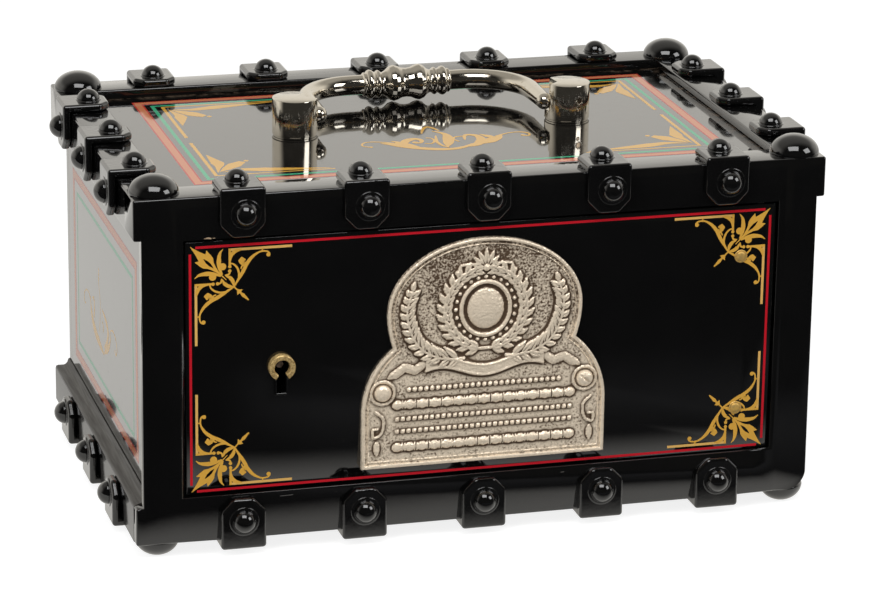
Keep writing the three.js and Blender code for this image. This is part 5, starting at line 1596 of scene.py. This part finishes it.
def keyhole_ring():
    """A brass sleeve with rounded rims, open at the bottom for the key"""
    shape = bmesh.new()
    wide = (RING_OUTER - RING_INNER) / 2
    middle = RING_INNER + wide
    flat, shoulder = wide - RING_ROUNDING, RING_HEIGHT - RING_ROUNDING
    turns = np.linspace(0, pi / 2, 6)
    section = [(flat + RING_ROUNDING * cos(a), shoulder + RING_ROUNDING * sin(a)) for a in turns]
    section += [(-out, height) for out, height in reversed(section)]
    section += [(-wide, 0.0), (wide, 0.0)]
    rings = []
    for turn in np.linspace(RING_GAP - pi / 2, 1.5 * pi - RING_GAP, RING_STEPS):
        ring = []
        for out, height in section:
            x = KEY_X + (middle + out) * cos(turn)
            z = KEY_Z + (middle + out) * sin(turn)
            ring.append(shape.verts.new(case_point(x, -DOOR_FRONT - 0.05 - height, z)))
        rings.append(ring)
    close_rows(shape, rings)
    bmesh.ops.recalc_face_normals(shape, faces=shape.faces)
    crease_edges(shape, 50)
    piece = new_piece("keyhole_ring", shape, brass)
    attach(piece, "door")
    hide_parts("escutcheon_ring")


def slot_rim():
    """Paint has built up round the key's slot"""
    brush = Brush(DOOR_PLANE)
    brush.film_base = SLOT_RIM_HEIGHT
    brush.move((KEY_X, KEY_Z))
    foot = SLOT_BOTTOM - KEY_Z
    brush.film(*(
        [(-half, top), (-half, low), (half, low), (half, top)]
        for half, top, low in ((SLOT_HALF, -7.2, foot), (SLOT_HALF + SLOT_RIM, -6.4, foot - SLOT_RIM))
    ))
    rim = brush.finished("slot_rim", strap_enamel, "door")
    soften = rim.modifiers.new("rounded", "BEVEL")
    soften.width = 0.3 * MM
    soften.segments = 3


def round_head(name, node, profile, place, material, slot, body="door"):
    """A turned head in place of a plain one"""
    shape = bmesh.new()
    turn_profile(shape, profile, 40, place)
    bmesh.ops.recalc_face_normals(shape, faces=shape.faces)
    crease_edges(shape, 50)
    piece = new_piece(name, shape, material)
    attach(piece, body)
    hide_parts(node)
    return piece


door_piece()
keyhole_ring()
slot_rim()


# Nameplate. A cast plate, nickelled and worn to a warm tone, is screwed on the door. Inside its rim
# a stippled ground carries a laurel wreath round a plain boss, palm sprays, an empty ribbon and
# rows of beads.
PLATE_HALF = 63.3
PLATE_FOOT = 30.6
PLATE_GROUND = -113.5
PLATE_BACK = -112.05
SHOULDER_MIDDLE = (20.3, 59.4)
SHOULDER_RADIUS = 43.0
CHEEK_MIDDLE = (-6.0, 111.0)
CHEEK_RADIUS = 56.3
ARCH_HALF = 50.3
ARCH_RISE = 36.8
ARC_STEPS = 32
RIM_SECTION = ((0, 0.6), (0.3, 1.05), (0.9, 1.25), (1.5, 1.05), (1.8, 0.6), (1.95, -0.05))
INNER_LINE = ((2.9, -0.1), (3.0, 0.35), (3.35, 0.55), (3.7, 0.35), (3.8, -0.1))
RELIEF_STEP = 0.5
RELIEF_SUNK = 0.35
PROUD_PASSES = 10
BOSS = (0, 111.0)
RIBBON_Z = 81.5
RIBBON_HALF = 31.0
RIBBON_WIDTH = 3.4
SCREW_X = 52.5
SCREW_Z = 70.2
PLATE_BRIGHT = (1.0, 0.85, 0.66, 1)
PLATE_BROWN = (0.12, 0.075, 0.045, 1)
PLATE_ROUGHNESS = (0.15, 0.4)
PATINA_HEIGHT = 1.1
PATINA_PATCH = 14.0
PATINA_SPECKLE = 1.1
PATINA_AT_TOP = 0.16
STIPPLE_SIZE = 1.5
STIPPLE_DEPTH = 0.6
DENT_SIZE = 5.0
DENT_DEPTH = 0.5


def plate_material():
    """Worn nickel: bright where proud, brown patina in the ground, patina and painted shade in creases,
    stippled all over
    """
    material, tree, plate = new_material("plate_nickel")
    plate.inputs["Metallic"].default_value = 0.34
    place = axes(tree)
    low = fade(tree, place["Y"], (PLATE_GROUND - PATINA_HEIGHT) * MM, PLATE_GROUND * MM)
    toward_top = fade(tree, place["Z"], 60 * MM, 150 * MM, 0.0, PATINA_AT_TOP)
    broad = calculate(tree, "MULTIPLY", cloud(tree, PATINA_PATCH, 2), 0.4)
    speckled = calculate(tree, "ADD", cloud(tree, PATINA_SPECKLE, 2), broad)
    patches = fade(tree, calculate(tree, "ADD", speckled, toward_top), 0.66, 0.98)
    proud = tree.nodes.new("ShaderNodeAttribute")
    proud.attribute_name = "proud"
    # Browner in the creases, where the relief stands below its surroundings: patina and painted shade
    crease_patina_and_shade = fade(tree, proud.outputs["Fac"], 0.0, -0.25)
    patina_and_shade = calculate(tree, "MAXIMUM", calculate(tree, "MULTIPLY", low, patches), crease_patina_and_shade)
    feed(tree, plate.inputs["Base Color"], blend(tree, patina_and_shade, PLATE_BRIGHT, PLATE_BROWN))
    feed(tree, plate.inputs["Roughness"], fade(tree, patina_and_shade, 0.0, 1.0, *PLATE_ROUGHNESS))
    stipple = bump(tree, cloud(tree, STIPPLE_SIZE, 2), STIPPLE_DEPTH)
    feed(tree, plate.inputs["Normal"], bump(tree, cloud(tree, DENT_SIZE, 2), DENT_DEPTH, stipple))
    return material


plate_nickel = plate_material()


def plate_side(inset):
    """The plate's right edge from its foot to its top, moved inwards"""
    shoulder, cheek = SHOULDER_RADIUS - inset, CHEEK_RADIUS - inset
    middles = Vector(CHEEK_MIDDLE) - Vector(SHOULDER_MIDDLE)
    apart = middles.length
    along = (shoulder**2 - cheek**2 + apart**2) / (2 * apart)
    outwards = Vector((middles.y, -middles.x)).normalized() * sqrt(shoulder**2 - along**2)
    waist = Vector(SHOULDER_MIDDLE) + middles.normalized() * along + outwards
    shoulder_turn = atan2(waist.y - SHOULDER_MIDDLE[1], waist.x - SHOULDER_MIDDLE[0])
    cheek_turn = atan2(waist.y - CHEEK_MIDDLE[1], waist.x - CHEEK_MIDDLE[0])
    side = [(PLATE_HALF - inset, PLATE_FOOT + inset)]
    for (x, z), wide, high, start, end in (
        (SHOULDER_MIDDLE, shoulder, shoulder, 0, shoulder_turn),
        (CHEEK_MIDDLE, cheek, cheek, cheek_turn, 0),
        ((0, CHEEK_MIDDLE[1]), ARCH_HALF - inset, ARCH_RISE - inset, 0, pi / 2),
    ):
        turns = np.linspace(start, end, ARC_STEPS)
        first = int(side[-1][0] < PLATE_HALF - inset)
        side += [(x + wide * cos(turn), z + high * sin(turn)) for turn in turns[first:]]
    return np.array(side)


def plate_outline(inset):
    right = plate_side(inset)
    return np.vstack((right, right[-2::-1] * (-1, 1)))


def follow_outline(shape, section):
    """Rows of corners along the plate's edge, one for each (inset, height) pair"""
    rows = []
    for inset, height in section:
        outline = plate_outline(inset)
        rows.append([shape.verts.new(case_point(x, PLATE_GROUND - height, z)) for x, z in outline])
    return rows


def smoothed(height, passes):
    """Heights averaged with their neighbours a few times"""
    for _ in range(passes):
        edged = np.pad(height, 1, mode="edge")
        height = (edged[:-2, 1:-1] + edged[2:, 1:-1] + edged[1:-1, :-2] + edged[1:-1, 2:]) / 4
    return height


class Relief:
    """Heights over the plate's ground, built up shape by shape"""

    def __init__(self):
        top = CHEEK_MIDDLE[1] + ARCH_RISE
        across = np.arange(-PLATE_HALF, PLATE_HALF + RELIEF_STEP, RELIEF_STEP)
        self.x, self.z = np.meshgrid(across, np.arange(PLATE_FOOT, top + RELIEF_STEP, RELIEF_STEP))
        self.height = np.zeros_like(self.x)

    def add(self, height):
        self.height = np.maximum(self.height, height)

    def dome(self, x, z, radius, height, tall=1.0):
        away = ((self.x - x) ** 2 + ((self.z - z) / tall) ** 2) / radius**2
        self.add(height * np.sqrt(np.clip(1 - away, 0, 1)))

    def ring(self, x, z, wide, high, half_width, height):
        away = (np.hypot((self.x - x) / wide, (self.z - z) / high) - 1) * min(wide, high) / half_width
        self.add(height * np.sqrt(np.clip(1 - away**2, 0, 1)))

    def leaf(self, x, z, turn, length, width, height):
        """A pointed leaf with a sunk midrib, drawn from its foot"""
        along = ((self.x - x) * cos(turn) + (self.z - z) * sin(turn)) / length
        across = (self.z - z) * cos(turn) - (self.x - x) * sin(turn)
        half = width / 2 * np.sin(pi * np.clip(along, 0, 1) ** 0.8) + 1e-6
        body = np.sqrt(np.clip(1 - (across / half) ** 2, 0, 1))
        rib = 1 - 0.4 * np.exp(-((across / 0.4) ** 2))
        self.add(np.where((along > 0) & (along < 1), height * body * rib * (0.6 + 0.4 * along), 0))

    def stem(self, path, width, height):
        """A round bar along a line of points"""
        points = np.array(path, float)
        nearest = np.full(self.x.shape, 1e9)
        for start, end in zip(points, points[1:]):
            step = end - start
            share = ((self.x - start[0]) * step[0] + (self.z - start[1]) * step[1]) / (step @ step)
            share = np.clip(share, 0, 1)
            away = np.hypot(self.x - start[0] - share * step[0], self.z - start[1] - share * step[1])
            nearest = np.minimum(nearest, away)
        self.add(height * np.sqrt(np.clip(1 - (nearest / (width / 2)) ** 2, 0, 1)))


def boss_and_wreath(relief):
    x, z = BOSS
    relief.dome(x, z, 9.6, 2.3, 1.12)
    relief.ring(x, z, 12.6, 13.9, 1.1, 1.6)
    for turn in np.linspace(0, 2 * pi, 24, endpoint=False):
        relief.dome(x + 15.4 * cos(turn), z + 16.4 * sin(turn), 0.95, 1.2)
    relief.ring(x, z, 20.6, 21.0, 0.8, 1.0)
    for hand in (-1, 1):
        for step in range(13):
            place = radians(-80 + 12.6 * step)
            foot = (hand * 20.6 * cos(place), z + 21.0 * sin(place))
            ahead = place + pi / 2
            for lean, length in ((-0.62, 7.4), (0.62, 6.6), (0.0, 6.8)):
                turn = ahead + lean if hand > 0 else pi - ahead - lean
                relief.leaf(*foot, turn, length, 3.4, 1.9 if lean else 2.3)
            relief.dome(hand * 24.0 * cos(place + 0.12), z + 24.4 * sin(place + 0.12), 0.9, 1.3)


def palmette(relief):
    """The fan of leaves over the wreath"""
    for step in range(-3, 4):
        relief.leaf(0, 132.0, pi / 2 + 0.42 * step, 11.0 - 0.9 * abs(step), 3.2, 2.0)
    relief.dome(0, 132.4, 2.2, 2.2)
    for hand in (-1, 1):
        curl = [(hand * 3, 131.2), (hand * 8, 134.6), (hand * 13, 133.8), (hand * 14.8, 130.6)]
        relief.stem(curl, 1.3, 1.1)
        relief.dome(hand * 14.6, 130.2, 1.5, 1.4)


def palm_sprays(relief):
    """A palm spray on each side of the wreath"""
    for hand in (-1, 1):
        spine = smooth_path([
            (11.0, 85.5), (23.0, 86.5), (33.0, 92.0), (38.5, 101.0), (40.5, 112.0), (38.0, 122.0),
        ]) * (hand, 1)
        relief.stem(spine, 1.7, 1.4)
        for i in range(2, len(spine) - 2, 3):
            ahead = atan2(*(spine[i + 1] - spine[i])[::-1])
            share = i / len(spine)
            for side in (-1, 1):
                length = (10.4 if side == hand else 7.4) * (1 - 0.45 * share)
                relief.leaf(*spine[i], ahead + side * 0.72, length, 3.6, 2.4)
        relief.leaf(*spine[-1], atan2(*(spine[-1] - spine[-2])[::-1]), 6.0, 3.0, 1.9)


def empty_ribbon(relief):
    """A bare ribbon that waves under the wreath, with folded ends"""
    middle = RIBBON_Z - 2.6 * np.cos(relief.x / RIBBON_HALF * 1.35 * pi)
    away = np.abs(relief.z - middle)
    between_ends = np.clip((RIBBON_HALF - np.abs(relief.x)) / 0.5, 0, 1)
    inside = np.clip((RIBBON_WIDTH - away) / 0.5, 0, 1) * between_ends
    border = np.exp(-(((away - RIBBON_WIDTH + 0.9) / 0.45) ** 2))
    relief.add(inside * (1.0 + 0.45 * border + 0.35 * np.sin(relief.x / RIBBON_HALF * 1.35 * pi) ** 2))
    for hand in (-1, 1):
        fold = [(hand * 30.5, 84.6), (hand * 36.0, 81.0), (hand * 41.5, 82.8), (hand * 46.0, 79.6)]
        relief.stem(fold, 4.6, 1.0)
        relief.leaf(hand * 44.0, 81.0, -0.5 if hand > 0 else pi + 0.5, 7.0, 4.2, 1.2)


def bead_row(relief, z, reach, pitch, radius):
    for x in np.arange(-reach, reach + 0.1, pitch):
        relief.dome(x, z, radius, radius * 1.15)


def bead_and_reel_row(relief, z, reach, pitch, radius):
    """Long beads with a pair of thin discs between"""
    for x in np.arange(-reach, reach + 0.1, pitch):
        relief.dome(x, z, radius * 1.25, 1.7, 0.85)
    for x in np.arange(-reach + pitch / 2, reach, pitch):
        for shift in (-0.65, 0.65):
            relief.dome(x + shift, z, 0.62, 1.5, radius / 0.62)


def screw_rings(relief):
    for hand in (-1, 1):
        relief.ring(hand * SCREW_X, SCREW_Z, 6.0, 6.0, 0.7, 0.9)


def side_curls(relief):
    """A curl on each side between the screws' rings and the rows of beads"""
    for hand in (-1, 1):
        curl = smooth_path([(56, 60.5), (52, 56), (53, 49), (57, 47), (57.5, 51), (55, 51.5)]) * (hand, 1)
        relief.stem(curl, 1.2, 1.0)
        relief.leaf(hand * 55.5, 45.0, -pi / 2, 8.5, 3.4, 1.6)


def relief_sheet():
    """The plate's ground with all that stands on it, closed below"""
    relief = Relief()
    for carve in (boss_and_wreath, palmette, palm_sprays, empty_ribbon, screw_rings, side_curls):
        carve(relief)
    bead_row(relief, 71.0, 39.0, 3.0, 1.15)
    bead_and_reel_row(relief, 63.4, 44.8, 6.4, 2.3)
    bead_row(relief, 55.8, 45.0, 3.0, 1.15)
    bead_row(relief, 49.4, 45.0, 3.0, 1.15)
    bead_and_reel_row(relief, 41.0, 44.8, 6.4, 2.3)
    edge = plate_side(1.2)
    inside = np.abs(relief.x) < np.interp(relief.z, edge[:, 1], edge[:, 0], -1, -1)
    rows, columns = inside.shape
    cells = inside[:-1, :-1] & inside[1:, :-1] & inside[:-1, 1:] & inside[1:, 1:]
    index = np.arange(rows * columns).reshape(rows, columns)
    corners = np.stack((index[:-1, :-1], index[:-1, 1:], index[1:, 1:], index[1:, :-1]), -1)[cells]
    used, faces = np.unique(corners, return_inverse=True)
    y = PLATE_GROUND - relief.height.ravel()[used]
    points = np.column_stack((relief.x.ravel()[used], y, relief.z.ravel()[used] + UNDERSIDE)) * MM
    mesh = bpy.data.meshes.new("relief")
    mesh.from_pydata(points.tolist(), [], faces.reshape(-1, 4).tolist())
    proud = relief.height - smoothed(relief.height, PROUD_PASSES)
    mesh.attributes.new("proud", "FLOAT", "POINT").data.foreach_set("value", proud.ravel()[used])
    shape = bmesh.new()
    shape.from_mesh(mesh)
    bpy.data.meshes.remove(mesh)
    rim = [edge for edge in shape.edges if edge.is_boundary]
    grown = bmesh.ops.extrude_edge_only(shape, edges=rim)["geom"]
    for vert in grown:
        if isinstance(vert, bmesh.types.BMVert):
            vert.co.y = (PLATE_GROUND + RELIEF_SUNK) * MM
    bmesh.ops.holes_fill(shape, edges=[edge for edge in shape.edges if edge.is_boundary])
    bmesh.ops.recalc_face_normals(shape, faces=shape.faces)
    piece = new_piece("nameplate_relief", shape, plate_nickel)
    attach(piece, "door")


def nameplate():
    shape = bmesh.new()
    close_rows(shape, follow_outline(shape, ((0, PLATE_GROUND - PLATE_BACK),) + RIM_SECTION))
    line = follow_outline(shape, INNER_LINE)
    join_rows(shape, line + line[:1])
    bmesh.ops.recalc_face_normals(shape, faces=shape.faces)
    crease_edges(shape, 50)
    piece = new_piece("nameplate_body", shape, plate_nickel)
    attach(piece, "door")
    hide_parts("nameplate")


nameplate()
relief_sheet()


# Screws and rivets. Two round-headed screws hold the nameplate; the left one is worn smooth and the
# right one keeps its slot. Two gilt rivets at the right of the door hold the bar of the hinge.
SCREW_HEAD = (
    (0, -6.5), (1.7, -6.5), (1.7, -0.2), (4.2, -0.2), (4.3, 0.5), (4.0, 1.3), (3.2, 2.1), (2.0, 2.7),
    (0, 3.0),
)
RIVET_HEAD = (
    (0, -3.0), (1.4, -3.0), (1.4, -0.1), (3.3, -0.1), (3.4, 0.3), (3.1, 0.6), (2.7, 0.55), (2.5, 0.5),
    (2.4, 0.8), (2.0, 1.05), (1.2, 1.2), (0, 1.25),
)
RIVET_X = 134.3
RIVET_HEIGHTS = {"upper": 128.1, "lower": 47.1}
SCREW_SLOT = (4.6, 0.45, 1.1)
SCREW_SLOT_TURN = -40
GILT = (0.80, 0.50, 0.13, 1)
GILT_WORN = (0.62, 0.40, 0.13, 1)
gilt = metal("gilt", GILT, GILT_WORN, 0.3, 1.5, 0.45)


def slot_cutter(place):
    length, half, deep = SCREW_SLOT
    shape = bmesh.new()
    turn = Matrix.Rotation(radians(SCREW_SLOT_TURN), 4, "Z")
    for x in (-length, length):
        for y in (-half, half):
            for z in (3.0 - deep, 4.0):
                shape.verts.new(place @ turn @ (Vector((x, y, z)) * MM))
    bmesh.ops.convex_hull(shape, input=shape.verts)
    bmesh.ops.recalc_face_normals(shape, faces=shape.faces)
    return new_piece("screw_slot", shape, plate_nickel)


for hand, side in ((-1, "left"), (1, "right")):
    place = facing_out(hand * SCREW_X, PLATE_GROUND - 0.3, SCREW_Z + UNDERSIDE)
    names = (side + "_plate_screw", side + "_nameplate_screw")
    screw = round_head(*names, SCREW_HEAD, place, plate_nickel, "nickel")
    if side == "right":
        solid_difference(screw, slot_cutter(place))

for level, height in RIVET_HEIGHTS.items():
    place = facing_out(RIVET_X, -DOOR_FRONT, height + UNDERSIDE)
    round_head(level + "_rivet", level + "_door_rivet", RIVET_HEAD, place, gilt, "gilt")


# Lock and hinge. Behind the door stand an iron lock case with brass levers, a steel bolt and pin, and
# the bar with the two pivot pins of the hinge. Two nuts under the roof hold the handle's posts.
STEEL = (0.40, 0.39, 0.375, 1)
STEEL_BROWN = (0.16, 0.12, 0.09, 1)
IRON = (0.055, 0.052, 0.05, 1)
old_steel = metal("old_steel", STEEL, STEEL_BROWN, 0.32, 4.0)
lock_iron = metal("lock_iron", IRON, RUST_BROWN, 0.4, 6.0)
lever_brass = metal("lever_brass", BRASS_BRIGHT, BRASS_DULL, 0.28, 3.0)
finish_node("drill_pin", lit_brown_iron)
for node in (
    "lock_bolt", "lever_pivot", "upper_pivot_pin", "lower_pivot_pin", "left_post_nut", "right_post_nut",
):
    finish_node(node, old_steel)
for node in ("lock_lever_1", "lock_lever_2", "lock_lever_3"):
    finish_node(node, lever_brass)
for node in ("lock_case", "lock_cap"):
    finish_node(node, lock_iron)
finish_node("hinge_bar", cast_enamel)
